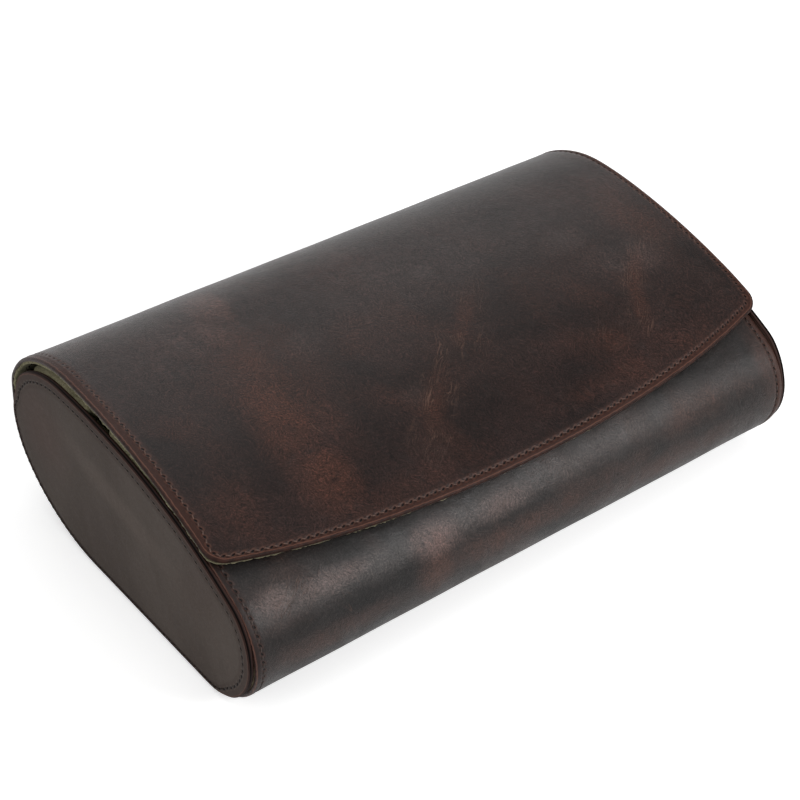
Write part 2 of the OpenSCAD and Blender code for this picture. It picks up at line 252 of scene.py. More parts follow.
def fill(ring, spacing, levels=None):
    """Points inside a ring on a grid, and triangles over ring and points together."""
    lo, hi = ring.min(0), ring.max(0)
    sa, sb = spacing
    ga = np.arange(lo[0] + sa / 2, hi[0], sa)
    gb = levels if levels is not None else np.arange(lo[1] + sb / 2, hi[1], sb)
    gb = gb[(gb > lo[1]) & (gb < hi[1])]
    grid = np.stack(np.meshgrid(ga, gb), -1).reshape(-1, 2)
    near = 0.45 * min(sa, sb)
    inside = np.zeros(len(grid), bool)
    a, b = ring, np.roll(ring, -1, 0)
    at_once = 1500
    for k in range(0, len(grid), at_once):
        g = grid[k:k + at_once]
        far = ((g[:, None] - ring[None]) ** 2).sum(2).min(1) > near ** 2
        above = (a[None, :, 1] > g[:, None, 1]) != (b[None, :, 1] > g[:, None, 1])
        with np.errstate(divide="ignore", invalid="ignore"):
            cross = (b[:, 0] - a[:, 0]) * (g[:, None, 1] - a[:, 1]) / (b[:, 1] - a[:, 1]) + a[:, 0]
        inside[k:k + at_once] = far & ((above & (g[:, None, 0] < cross)).sum(1) % 2 == 1)
    grid = grid[inside]
    pts = np.vstack([ring, grid])
    border = [list(range(len(ring)))]
    at, _, tris, orig, _, _ = delaunay_2d_cdt([Vector(p) for p in pts], [], border, 1, 1e-6)
    ids, extra = [], []
    for i, o in enumerate(orig):
        if not o:
            extra.append(at[i])
        ids.append(o[0] if o else len(pts) + len(extra) - 1)
    return np.vstack([grid, np.array(extra).reshape(-1, 2)]), [[ids[i] for i in t] for t in tris]


def plate(name, loop, place, material, t0, t1, *, rim, rings, press, k=1.0, closed=True, grid=(4.0, 3.0),
          levels=None, sway=None, rough=0.0, slit=None):
    """A sheet with a rounded rim, from depth t0 to t1. Its loop runs anticlockwise, and an open loop is
    closed by a flat cut. rings are distances from the edge, k scales them along the loop. press gives
    the depth of grooves at a point, its distance from the edge, from the seam and along the seam, and
    its side, 0 on the face. sway(ab) is a slow wave of the whole sheet. slit is the depth, half width and
    reach of a groove cut in the rim. The mesh carries each point's place on the flat sheet and at the
    edge. Returns it with its seam and the lengths along that."""
    n = len(loop)
    k = np.broadcast_to(np.asarray(k, float), n)
    into = inward(loop, closed)
    r0, r1 = rim
    steps = np.radians(np.linspace(0, 90, 4))
    prof = [(d, t0, 0) for d in sorted(rings, reverse=True)]
    prof += [(r0 * (1 - math.sin(a)), t0 + r0 * (1 - math.cos(a)), 0) for a in steps]
    if slit:
        at, half, reach = slit
        prof += [(0.0, at - half, 0), (reach, at - half * 0.5, 0)]
        prof += [(reach, at + half * 0.5, 1), (0.0, at + half, 1)]
    prof += [(r1 * (1 - math.sin(a)), t1 - r1 * (1 - math.cos(a)), 1) for a in steps[::-1]]
    prof.append((max(rings), t1, 1))
    seam = loop + into * (SEAM_D * k)[:, None]
    e = lengths(seam)
    rows = []
    for d, depth, side in prof:
        real = d * (k if d > r0 + 1e-6 else np.minimum(k * 1.4, 1))
        ab = loop + into * (real + rough * math.exp(-d / 0.7))[:, None]
        rows.append(np.c_[ab, np.full(n, depth), np.full(n, d), e, k, np.full(n, side)])
    ring = rows[0][:, :2]
    cut = np.zeros((0, 2))
    if not closed:
        c = int(abs(ring[0] - ring[-1]).max() / grid[0])
        cut = ring[-1] + (ring[0] - ring[-1]) * (np.arange(1, c) / c)[:, None]
    inner, tris = fill(np.vstack([ring, cut]), grid, levels)
    inner = np.vstack([cut, inner])
    m = len(inner)
    rows += [np.c_[inner, np.tile((depth, FAR_D, 0, 1, side), (m, 1))] for depth, side in ((t0, 0), (t1, 1))]
    points = np.vstack(rows)
    ab, t, edge, side = points[:, :2], points[:, 2], points[:, 3:6], points[:, 6]
    share = edge[:, 2]
    t = t + press(ab, edge[:, 0] * share, (edge[:, 0] - SEAM_D) * share, edge[:, 1], side)
    if sway:
        t = t + sway(ab)
    faces = []
    last = n if closed else n - 1
    for j in range(len(prof) - 1):
        for i in range(last):
            p, q = j * n + i, j * n + (i + 1) % n
            faces.append((p, p + n, q + n, q))
    back, front_in, back_in = (len(prof) - 1) * n, len(prof) * n, len(prof) * n + m
    for tri in tris:
        faces.append([v if v < n else front_in + v - n for v in tri])
        faces.append([back + v if v < n else back_in + v - n for v in reversed(tri)])
    if not closed:
        starts = [j * n for j in range(len(prof))]
        across = range(len(cut))
        faces.append(starts + [back_in + i for i in reversed(across)] + [s + n - 1 for s in reversed(starts)]
                     + [front_in + i for i in across])
    obj = new_mesh(name, place(ab, t), faces, material, flat=np.c_[ab, t], edge=edge)
    return obj, seam, e


def stitches(name, rows, material, half=1.25, r=0.36, slant=0.32, depth=0.14):
    """Short slanted threads, sunk at both ends. rows holds (seam, lengths along it, place)."""
    along = np.array([-1, -0.8, -0.4, 0.0, 0.4, 0.8, 1])
    size = np.array([0.45, 0.8, 1, 1, 1, 0.8, 0.45]) * r
    sides = 6
    a = np.arange(sides) * 2 * np.pi / sides
    local = np.array([(half * s, ri * math.cos(x), ri * math.sin(x) * 0.8 + 0.5 * s ** 4)
                      for s, ri in zip(along, size) for x in a])
    verts, faces = [], []
    for seam, e, place in rows:
        for at in np.arange(e[0] + PITCH / 2, e[-1], PITCH):
            p, q = (np.array([np.interp(s, e, seam[:, i]) for i in (0, 1)]) for s in (at, at + 0.5))
            d = (q - p) / np.hypot(*(q - p))
            d = np.array([d[0] - slant * d[1], d[1] + slant * d[0]])
            d /= np.hypot(*d)
            ab = p + local[:, :1] * d + local[:, 1:2] * np.array([-d[1], d[0]])
            faces += tube_faces(len(along), sides, len(verts) * len(local))
            verts.append(place(ab, depth + local[:, 2]))
    return new_mesh(name, np.vstack(verts), faces, material)


# ---- materials ----
class Graph:
    """A short way to write the nodes of a material or a world. Sockets and plain values mix freely."""

    def __init__(self, owner):
        owner.use_nodes = True
        self.owner, self.tree = owner, owner.node_tree
        self.tree.nodes.clear()
        self.out = self.node("Output" + type(owner).__name__)

    def node(self, kind, inputs=None, **props):
        n = self.tree.nodes.new("ShaderNode" + kind)
        for key, value in props.items():
            setattr(n, key, value)
        for key, value in (inputs or {}).items():
            if isinstance(value, bpy.types.NodeSocket):
                self.tree.links.new(value, n.inputs[key])
            else:
                n.inputs[key].default_value = value
        return n

    def show(self, shader):
        self.tree.links.new(shader.outputs[0], self.out.inputs["Surface"])
        return self.owner

    def vector(self, name="flat"):
        return self.node("Attribute", attribute_name=name).outputs["Vector"]

    def math(self, op, a, b=0.0, c=0.0):
        return self.node("Math", {0: a, 1: b, 2: c}, operation=op).outputs[0]

    def mul(self, a, b):
        return self.math("MULTIPLY", a, b)

    def sub(self, a, b):
        return self.math("SUBTRACT", a, b)

    def about(self, value, gain, base):
        """base, moved by gain times a value's distance from 0.5."""
        return self.math("MULTIPLY_ADD", self.sub(value, 0.5), gain, base)

    def split(self, v):
        return self.node("SeparateXYZ", {0: v}).outputs

    def vec(self, op, a, b=(0, 0, 0)):
        return self.node("VectorMath", {0: a, 1: b}, operation=op).outputs[0]

    def turned(self, v, angle, scale):
        """v turned about its third axis, then scaled."""
        spun = self.node("VectorRotate", {"Vector": v, "Angle": math.radians(angle)}, rotation_type="Z_AXIS")
        return self.node("Mapping", {"Vector": spun.outputs[0], "Scale": scale}).outputs[0]

    def noise(self, v, scale, detail=4.0, rough=0.55, distort=0.0, out="Fac"):
        return self.node("TexNoise", {"Vector": v, "Scale": scale, "Detail": detail, "Roughness": rough,
                                      "Distortion": distort}).outputs[out]

    def ramp(self, value, lo, hi, to=(0.0, 1.0)):
        """A smooth step from to[0] at lo to to[1] at hi."""
        ends = {"Value": value, "From Min": lo, "From Max": hi, "To Min": to[0], "To Max": to[1]}
        return self.node("MapRange", ends, interpolation_type="SMOOTHSTEP").outputs[0]

    def mix(self, fac, a, b):
        a, b = ((*c, 1.0) if isinstance(c, tuple) else c for c in (a, b))
        return self.node("Mix", {0: fac, 6: a, 7: b}, data_type="RGBA").outputs[2]

    def tint(self, color, *layers):
        """The colour under layers of other tones, each with a mask and a weight."""
        for mask, weight, tone in layers:
            color = self.mix(self.mul(mask, weight), color, tone)
        return color

    def bump(self, height, distance, under=None):
        inputs = {"Height": height, "Distance": distance * MM, "Strength": 1.0}
        if under is not None:
            inputs["Normal"] = under
        return self.node("Bump", inputs).outputs[0]

    def surface(self, **inputs):
        return self.show(self.node("BsdfPrincipled", {k.replace("_", " "): v for k, v in inputs.items()}))

    def spot(self, v, x, y, width, length, turn):
        """1 in the middle of an oval on the flat sheet, falling softly to 0 at its edge."""
        near = self.turned(self.vec("SUBTRACT", v, (x, y, 0)), turn, (1 / width, 1 / length, 0.0))
        return self.ramp(self.node("VectorMath", {0: near}, operation="LENGTH").outputs["Value"], 1.0, 0.15)

    def lines(self, v, scale, width, distort):
        """Thin wandering lines, where a noise crosses its middle."""
        off = self.math("ABSOLUTE", self.sub(self.noise(v, scale, 2, 0.5, distort), 0.5))
        return self.ramp(off, width, 0.0)


def new_graph(name):
    return Graph(bpy.data.materials.new(name))


def shade(color, by):
    return tuple(c * by for c in color)


def seam_masks(g, highlight_line_at, dash=1.0):
    """Masks along a sewn edge: the rim, the rubbed band, the line where a highlight is painted on the edge's
    ridge, the groove and needle holes where shade is painted, and the lips, rubbed and lit by a painted
    highlight.
    """
    nominal, e, k = g.split(g.vector("edge"))
    d = g.mul(nominal, k)
    off = g.mul(g.sub(nominal, SEAM_D), k)
    wob = g.noise(g.node("CombineXYZ", {0: g.mul(e, 0.35), 1: g.mul(d, 0.6)}).outputs[0], 1.0, 3.0)
    uneven = g.about(wob, 0.9, d)
    lean = g.math("ADD", g.math("DIVIDE", e, PITCH), g.mul(off, 0.16))
    along = g.mul(g.sub(g.math("FRACT", g.math("ADD", lean, 0.5)), 0.5), PITCH * dash)
    across = g.mul(g.math("POWER", off, 2.0), 1.3)
    far = g.math("SQRT", g.math("ADD", g.math("POWER", along, 2.0), across))
    hole = g.ramp(far, 0.8, 0.38)
    return {"d": d, "wob": wob, "hole": hole,
            "rim": g.ramp(uneven, 0.95, 0.4), "band": g.ramp(off, 0.6, -1.2),
            "line": g.ramp(g.math("ABSOLUTE", g.sub(uneven, highlight_line_at)), 0.28, 0.08),
            "rubbed": g.ramp(g.about(wob, 6.0, off), 4.0, 0.2),
            "groove": g.ramp(g.math("ABSOLUTE", off), 1.2, 0.3),
            "lip": g.mul(g.ramp(far, 1.9, 1.0), g.sub(1.0, hole))}


def fibres(g, v):
    """Short strokes whose direction wanders from place to place, and pores: both about 0.5."""
    drift = g.vec("SUBTRACT", g.noise(v, 1 / 17, 2, 0.5, out="Color"), (0.5, 0.5, 0.5))
    bent = g.vec("ADD", v, g.vec("MULTIPLY", drift, (14.0, 14.0, 0.0)))
    one = g.noise(g.turned(bent, 52, (1 / 0.68, 1 / 3.0, 1)), 1.0, 4, 0.72, 0.2)
    two = g.noise(g.turned(bent, -15, (1 / 0.68, 1 / 2.6, 1)), 1.0, 4, 0.72, 0.2)
    pick = g.ramp(g.noise(v, 1 / 8.0, 2), 0.42, 0.58)
    stroke = g.math("MULTIPLY_ADD", g.sub(two, one), pick, one)
    pore = g.noise(v, 1 / 0.85, 4, 0.78)
    slight = g.vec("ADD", v, g.vec("MULTIPLY", g.vec("SUBTRACT", bent, v), (0.4, 0.4, 0.0)))
    return slight, g.math("MULTIPLY_ADD", pore, 0.5, g.mul(stroke, 0.5))


def leather(name, marks, *, dark, mid, warm, bloom_and_sheen, band, band_right, highlight_line_at, rough, spec, coat, coat_ior,
            front_coat, right_coat, nap, dull, grain, lip_wear_and_highlight, wave, fleck):
    """Waxed dark leather: cloudy patches, fine fibres, pale creases and scuffs, rubbed edges, with painted
    sheen and highlights, and painted shade in the seam.
    """
    g = new_graph(name)
    v = g.vector()
    m = seam_masks(g, highlight_line_at)
    bent, fibre = fibres(g, v)
    cloud = g.ramp(g.noise(v, 1 / 62, 4, 0.5, 0.9), 0.36, 0.64)
    patch = g.ramp(g.noise(g.turned(v, 35, (1, 0.55, 1)), 1 / 30, 3, 0.5, 0.6), 0.45, 0.72)
    mottle = g.noise(v, 1 / 7.0, 6, 0.7, 0.2)
    broken = g.ramp(g.noise(g.turned(v, 8, (1, 0.45, 1)), 1 / 16, 5, 0.62, 0.8), 0.3, 0.66)
    patchiness = g.math("MULTIPLY_ADD", broken, 0.6, 0.4)
    kinds = dict.fromkeys(("warm", "rose_and_highlight", "bloom_and_sheen", "crease", "dark"), 0.0)
    for kind, ovals in marks.items():
        for *oval, weight in ovals:
            kinds[kind] = g.math("MAXIMUM", kinds[kind], g.mul(g.spot(v, *oval), weight))
    # bloom_and_sheen ovals: the wax's grey bloom with a painted sheen and highlight; rose_and_highlight
    # ovals: a warm tone with a painted highlight; dark ovals: a darker tone, and painted shadow under the
    # flap's edge on the front wall
    color = g.tint(g.mix(cloud, dark, mid), (patch, 0.2, warm), (kinds["bloom_and_sheen"], patchiness, bloom_and_sheen),
                   (kinds["warm"], patchiness, warm), (kinds["rose_and_highlight"], patchiness, ROSE_AND_HIGHLIGHT),
                   (kinds["dark"], 0.8, shade(dark, 0.5)))
    # fibres and pores everywhere
    pale = g.vec("MULTIPLY", color, (2.9, 2.5, 2.45))
    color = g.mix(g.ramp(fibre, 0.50, 0.61, (0, 0.75 * grain)), color, pale)
    color = g.mix(g.ramp(fibre, 0.50, 0.40, (0, 0.8 * grain)), color, shade(dark, 0.3))
    color = g.mix(g.ramp(mottle, 0.5, 0.75, (0, 0.16)), color, bloom_and_sheen)
    # nets of long fine creases in their own places, and stray scratches
    long_v = g.turned(bent, CREASE_TURN, (1.0, 0.10, 1.0))
    crease = g.math("MAXIMUM", g.lines(long_v, 1 / 3.4, 0.016, 0.25), g.lines(long_v, 1 / 1.9, 0.013, 0.2))
    gaps = g.ramp(g.noise(g.turned(v, CREASE_TURN, (1, 0.3, 1)), 1 / 5, 3), 0.42, 0.56)
    crease = g.mul(g.mul(crease, gaps), kinds["crease"])
    scratch = g.lines(g.turned(bent, 20, (0.5, 0.12, 1.0)), 1 / 7.0, 0.006, 0.4)
    scratch = g.mul(scratch, g.ramp(g.noise(v, 1 / 18, 3, 0.6), 0.55, 0.72))
    # rubbed by the edge: a red-brown band, a painted highlight along the edge's ridge, a dark rim, painted
    # shade in the groove and the needle holes, and rubbed lips with a painted highlight
    x, u, _ = g.split(v)
    band = g.mix(g.ramp(x, 112.0, 138.0), band, band_right)
    color = g.tint(color, (kinds["crease"], 0.1, warm), (crease, 0.55, CREASE_PALE),
                   (scratch, 0.35, CREASE_PALE), (m["rubbed"], 0.4, band),
                   (m["band"], g.ramp(m["wob"], 0.2, 0.6, (0.3, 0.8)), band),
                   (m["groove"], 0.45, RECESS_SHADE), (m["lip"], lip_wear_and_highlight, EDGE_RUB_AND_HIGHLIGHT))
    color = g.mix(m["rim"], color, g.mix(g.ramp(m["wob"], 0.35, 0.65), EDGE_BURNISH, EDGE_BAND))
    color = g.tint(color, (m["line"], 0.72, EDGE_RUB_AND_HIGHLIGHT), (m["hole"], 0.9, RECESS_SHADE))
    roughness = g.about(broken, 0.16, g.about(mottle, 0.5, rough))
    roughness = g.math("MULTIPLY_ADD", g.math("MAXIMUM", crease, kinds["bloom_and_sheen"]), 0.12, roughness)
    n = g.bump(fibre, 0.30, under=g.bump(g.noise(v, 1 / 9.0, 4, 0.55), wave))
    n = g.bump(g.sub(g.mul(crease, -1.0), g.mul(m["hole"], 4.0)), 0.10, under=n)
    # the wax shines less by the edge, towards the flap's front and at the right
    wax = g.ramp(g.math("MAXIMUM", m["band"], m["rim"]), 0.0, 1.0, (coat, coat * (1 - dull)))
    for less in (g.ramp(u, 80.0, 190.0, (1.0, front_coat)), g.ramp(x, 50.0, 120.0, (1.0, right_coat)),
                 g.ramp(fibre, 0.41, 0.59, (1 - fleck, 1 + 0.7 * fleck))):
        wax = g.mul(wax, less)
    return g.surface(Base_Color=color, Roughness=roughness, Normal=n, Specular_IOR_Level=spec,
                     Coat_Weight=wax, Coat_Roughness=0.30, Coat_IOR=coat_ior, Coat_Normal=n,
                     Sheen_Weight=nap, Sheen_Roughness=0.3)


def smooth_leather(name, dark, mid, rim_dark, marks):
    """The end panels' leather: smooth and matt, with soft streaks, darker towards the edge."""
    g = new_graph(name)
    v = g.vector()
    m = seam_masks(g, highlight_line_at=0.9, dash=0.72)
    cloud = g.ramp(g.noise(g.turned(v, 20, (1, 0.4, 1)), 1 / 34, 4, 0.5, 0.5), 0.36, 0.66)
    mottle = g.noise(v, 1 / 4.0, 6, 0.65)
    _, fibre = fibres(g, v)
    color = g.mix(cloud, dark, mid)
    color = g.tint(color, *[(g.spot(v, *oval), weight, tone) for *oval, weight, tone in marks])
    color = g.mix(g.ramp(mottle, 0.42, 0.75, (0, 0.3)), color, shade(mid, 1.25))
    color = g.mix(g.ramp(fibre, 0.50, 0.62, (0, 0.28)), color, shade(mid, 1.8))
    color = g.mix(g.ramp(fibre, 0.50, 0.40, (0, 0.28)), color, shade(dark, 0.5))
    color = g.mix(g.ramp(m["d"], 10.0, 3.0, (0, 0.75)), color, rim_dark)
    # painted shade in the seam's groove; the lips lighter, rubbed and with a painted highlight
    color = g.tint(color, (m["groove"], 0.8, RECESS_SHADE), (m["lip"], 0.35, shade(mid, 1.9)))
    # the rim, with a painted highlight along its ridge
    edge = g.mix(m["wob"], EDGE_BAND, EDGE_BURNISH)
    color = g.tint(g.mix(m["rim"], color, edge), (m["line"], 0.55, EDGE_RUB_AND_HIGHLIGHT))
    # the rim's outer strip, with painted shade in the slit between the panel's two leathers and in the needle
    # holes
    depth = g.split(v)[2]
    at, half, _ = RIM_SLIT
    color = g.tint(color, (g.ramp(depth, at, at + 0.3), g.ramp(m["d"], 0.9, 0.6), edge))
    slit = g.ramp(g.math("ABSOLUTE", g.sub(depth, at)), half + 0.12, half - 0.05)
    color = g.mix(m["hole"], g.mix(slit, color, RECESS_SHADE), RECESS_SHADE)
    n = g.bump(fibre, 0.06, under=g.bump(g.noise(v, 1 / 9.0, 3, 0.5), 0.12))
    n = g.bump(g.mul(m["hole"], -4.0), 0.1, under=n)
    return g.surface(Base_Color=color, Roughness=g.about(mottle, 0.3, 0.6), Normal=n, Specular_IOR_Level=0.12)


def suede(name, dark, light, nap=0.9):
    """Short olive nap: speckled, brushed in soft patches, with a sheen."""
    g = new_graph(name)
    v = g.vector()
    brushed = g.ramp(g.noise(g.turned(v, 15, (1, 0.6, 1)), 1 / 19, 4, 0.6, 0.7), 0.36, 0.66)
    speck = g.noise(v, 1 / nap, 5, 0.75)
    fuzz = g.noise(v, 1 / (nap * 0.45), 3, 0.7)
    color = g.mix(brushed, dark, light)
    color = g.mix(g.ramp(speck, 0.40, 0.66), g.vec("MULTIPLY", color, (0.5, 0.5, 0.5)), color)
    color = g.mix(g.ramp(fuzz, 0.58, 0.78, (0, 0.55)), color, shade(light, 1.7))
    n = g.bump(fuzz, 0.12, under=g.bump(speck, 0.25))
    return g.surface(Base_Color=color, Roughness=0.95, Normal=n, Specular_IOR_Level=0.15,
                     Sheen_Weight=0.35, Sheen_Roughness=0.45, Sheen_Tint=(0.75, 0.72, 0.5, 1.0))


def thread(name, dark, light):
    """Waxed twisted thread."""
    g = new_graph(name)
    v = g.vec("MULTIPLY", g.node("TexCoord").outputs["Object"], (1 / MM, 1 / MM, 1 / MM))
    twist = g.noise(v, 2.2, 2, 0.5)
    return g.surface(Base_Color=g.mix(g.ramp(twist, 0.35, 0.65), dark, light), Roughness=0.55,
                     Normal=g.bump(twist, 0.12), Specular_IOR_Level=0.35)


CREASE_PALE, CREASE_TURN = (0.120, 0.066, 0.048), -45
EDGE_BAND = (0.034, 0.0140, 0.0100)
# rubbed wear on the stitches' lips, and the painted highlight along the edge's ridge
EDGE_RUB_AND_HIGHLIGHT = (0.118, 0.052, 0.036)
EDGE_BURNISH = (0.014, 0.0068, 0.0055)
# painted shade in needle holes, seam grooves and the panels' rim slit
RECESS_SHADE = (0.003, 0.002, 0.002)
# a warm pink tone with a painted highlight
ROSE_AND_HIGHLIGHT = (0.110, 0.067, 0.058)
RIM_SLIT = (0.95, 0.36, 1.4)

# ovals on the flat sheet: x, u, width, length, turn, weight
FLAP_MARKS = {
    "rose_and_highlight": ((-73, 62, 15, 22, -7, 0.45), (-86, 84, 24, 18, 0, 0.20), (118, 144, 18, 12, -45, 0.15)),
    "warm": ((-75, 74, 13, 34, -7, 0.35), (-80, 102, 17, 40, -7, 0.55), (-88, 142, 22, 36, -5, 0.80),
             (-87, 178, 19, 28, 0, 0.80), (-78, 125, 34, 60, -6, 0.35), (-133, 171, 18, 20, 0, 0.35),
             (-60, 196, 70, 10, 0, 0.25), (60, 192, 60, 10, 0, 0.25), (107, 149, 6, 20, -45, 0.5),
             (97, 164, 6, 18, -25, 0.5), (71, 176, 12, 10, -30, 0.38), (18, 133, 6, 24, -45, 0.35),
             (-22, 164, 8, 26, -45, 0.35), (132, 120, 12, 50, 0, 0.25)),
    # bloom_and_sheen: the wax's grey bloom, and a painted sheen, strongest in the band along the far top
    "bloom_and_sheen": ((20, 100, 15, 9, 0, 0.65), (30, 98, 100, 36, 0, 0.35), (92, 115, 26, 14, 0, 0.4),
             (-115, 76, 50, 44, 0, 0.22), (-52, 112, 22, 14, 20, 0.35), (60, 66, 100, 24, 0, 0.35),
             (-29, 160, 12, 9, 0, 0.25), (101, 142, 12, 7, -40, 0.5), (112, 138, 34, 18, 0, 0.4),
             (-30, 128, 50, 24, 0, 0.05)),
    "crease": ((27, 126, 11, 20, -45, 0.9), (-2, 145, 15, 22, -45, 1.0), (-20, 163, 15, 22, -45, 1.0),
               (-36, 182, 15, 20, -45, 0.9), (12, 152, 12, 18, -45, 0.6), (121, 139, 12, 20, -45, 0.9),
               (104, 152, 11, 20, -45, 1.0), (94, 170, 11, 20, -25, 0.9), (74, 172, 18, 16, -45, 0.5),
               (-70, 108, 18, 22, -45, 0.35)),
    "dark": ((-140, 138, 14, 34, 0, 0.4), (-108, 160, 10, 34, 0, 0.5), (-55, 172, 24, 24, 0, 0.5),
             (2, 176, 26, 18, 0, 0.4), (50, 182, 40, 14, 0, 0.4), (120, 172, 18, 18, 0, 0.5),
             (40, 148, 26, 14, 0, 0.3), (-55, 146, 14, 26, 0, 0.35)),
}
FRONT_MARKS = {
    # rose_and_highlight: a warm tone lit by a painted highlight along the lamp's highlight band
    "rose_and_highlight": ((-56, -262, 18, 11, 0, 0.95), (-20, -262, 26, 8, 0, 0.3), (-107, -266, 24, 7, 0, 0.35),
             (-134, -269, 12, 8, 0, 0.35)),
    "warm": ((-58, -247, 15, 16, 0, 0.9), (-12, -247, 60, 10, 0, 0.7), (70, -240, 70, 11, 0, 0.6),
             (-110, -242, 46, 10, 0, 0.6), (100, -260, 50, 12, 0, 0.5), (40, -250, 40, 9, 0, 0.3),
             (141, -262, 10, 34, 0, 0.45)),
    # bloom_and_sheen on the front wall: patches along the lamp's highlight band, a painted highlight
    "bloom_and_sheen": ((-60, -264, 140, 8, 0, 0.55), (60, -266, 90, 8, 0, 0.16), (-132, -268, 14, 9, 0, 0.9),
             (-107, -265, 18, 8, 0, 0.7), (-80, -262, 18, 8, 0, 0.6), (-56, -262, 18, 10, 0, 0.7),
             (-20, -262, 30, 8, 0, 0.55), (14, -263, 24, 8, 0, 0.35), (52, -266, 22, 7, 0, 0.35),
             (92, -268, 26, 8, 0, 0.12), (120, -269, 14, 5, 0, 0.12)),
    "crease": ((-125, -266, 20, 14, 60, 0.8), (-20, -268, 30, 10, 80, 0.4), (60, -266, 30, 10, 80, 0.3)),
    # the dark ovals at u -277 to -286, just under the flap's edge, are painted shadow; the others are a
    # darker tone
    "dark": ((-128, -253, 28, 7, 0, 0.9), (-96, -252, 24, 7, 0, 0.8), (-20, -254, 30, 5, 0, 0.4),
             (40, -257, 40, 5, 0, 0.4), (100, -277, 60, 7, 0, 0.5), (112, -254, 40, 9, 0, 0.6),
             (-138, -286, 20, 10, 0, 0.9), (-80, -280, 60, 9, 0, 0.6), (60, -281, 100, 9, 0, 0.6)),
}
# ovals on an end panel: y, z, width, length, turn, weight, tone
PANEL_MARKS = ((5, 56, 70, 11, -12, 0.8, (0.084, 0.066, 0.055)),
               (68, 56, 34, 34, 0, 0.6, (0.066, 0.041, 0.034)),
               (20, 30, 50, 16, -12, 0.35, (0.054, 0.041, 0.035)),
               (-62, 52, 22, 34, -31, 0.5, (0.050, 0.034, 0.028)))

flap_leather = leather(
    "flap_leather", FLAP_MARKS, dark=(0.0088, 0.0047, 0.0040), mid=(0.0172, 0.0092, 0.0078),
    warm=(0.053, 0.0205, 0.0130), bloom_and_sheen=(0.046, 0.036, 0.034), band=EDGE_BAND, band_right=EDGE_BAND,
    highlight_line_at=1.25, rough=0.5, spec=0.03, coat=1.0, coat_ior=1.35, front_coat=0.35, right_coat=1.0,
    nap=0.045, dull=0.4, grain=1.0, lip_wear_and_highlight=0.34, wave=0.16, fleck=0.08)
front_leather = leather(
    "front_leather", FRONT_MARKS, dark=(0.0070, 0.0058, 0.0055), mid=(0.0145, 0.0102, 0.0092),
    warm=(0.050, 0.0235, 0.0170), bloom_and_sheen=(0.066, 0.058, 0.055), band=(0.014, 0.0070, 0.0056),
    band_right=(0.046, 0.0210, 0.0155), highlight_line_at=0.3, rough=0.40, spec=0.17, coat=0.42, coat_ior=1.3,
    front_coat=1.0, right_coat=0.7, nap=0.0, dull=0.8, grain=0.75, lip_wear_and_highlight=0.2, wave=0.26, fleck=0.34)
panel_leather = smooth_leather("panel_leather", (0.050, 0.0375, 0.0310), (0.067, 0.0525, 0.0440),
                               (0.034, 0.0205, 0.016), PANEL_MARKS)
lining_suede = suede("lining_suede", (0.16, 0.145, 0.085), (0.27, 0.243, 0.15))
pillow_suede = suede("pillow_suede", (0.15, 0.132, 0.074), (0.25, 0.222, 0.13), nap=0.8)
piping_suede = suede("piping_suede", (0.10, 0.086, 0.048), (0.17, 0.15, 0.085), nap=0.5)
brown_thread = thread("brown_thread", (0.030, 0.0145, 0.0105), (0.105, 0.054, 0.038))
dark_thread = thread("dark_thread", (0.010, 0.007, 0.006), (0.045, 0.027, 0.021))

# ---- outer leather and lining ----
RINGS = (1.3, 1.9, 2.5, 2.95, 3.3, 3.65, 4.0, 4.35, 4.7, 5.3, 6.3)
LOOP_STEP, FOLD_ZONE, LIP_CORNER_R = 0.8, 7.0, 4.5
# how far in the seams lie, as shares of SEAM_D
LEFT_SEAM, RIGHT_SEAM, FRONT_SEAM, CORNER_SEAM, WRAP_SEAM = 1.22, 0.66, 0.96, 0.62, 0.86
# how far the sheet spreads past its plain outline, and curls or swells off the tube
FOLD_SPREAD, SIDE_SPREAD, CORNER_SPREAD = 1.3, 1.0, 0.7
CORNER_CURL, FOLD_CURL, CROWN = 1.3, 2.1, 0.5
# the hand-cut front edge: leaning to the right, and dropping off more than an arc by the corners
FRONT_LEAN, FRONT_DROP = 0.7, 3.1
reach_dir = np.array([math.cos(math.radians(PLAN_HEADING)), math.sin(math.radians(PLAN_HEADING))])


def reach_to_u(reach):
    """u on the flap for a distance along its plan, seen square to its front edge."""
    on_top = LINE.u > 60
    y, z = LINE.at(LINE.u[on_top], 0.0)
    return np.interp(reach, np.c_[y, z] @ reach_dir, LINE.u[on_top])


def flap_front_outline(inset):
    """The flap's front edge from its right side to its left: corner, long arc, corner."""
    w = FLAP_X - inset
    heads = np.linspace(FLAP_FRONT_FROM, FLAP_END, 600)
    face = on_section(heads, -np.interp(heads - 360, LIFT_H, LIFT_V))
    mid = face[np.argmin(np.abs(face[:, 0] - (CASE_FRONT + FLAP_FRONT_INSET)))] @ reach_dir - inset
    big = (FLAP_X ** 2 + FLAP_SAG ** 2) / (2 * FLAP_SAG) - inset
    r = FLAP_CORNER_R - inset
    cx, cr = w - r, mid - big + math.sqrt((big - r) ** 2 - (w - r) ** 2)
    sweep = math.degrees(math.asin(cx / (big - r)))
    right = arc((cx, cr), r, 0, 90 - sweep, 60)
    front = arc((0, mid - big), big, 90 - sweep, 90 + sweep, 120)
    left = arc((-cx, cr), r, 90 + sweep, 180, 60)
    pts = np.vstack([right, front[1:-1], left])
    share = pts[:, 0] / FLAP_X
    cut = FRONT_LEAN * share - FRONT_DROP * np.abs(share) ** 5
    return np.c_[pts[:, 0], reach_to_u(pts[:, 1] + cut)]


def on_flap(u):
    """0 on the wrap, rising to 1 on the flap."""
    return smoothstep(u, -2.0, 16.0)


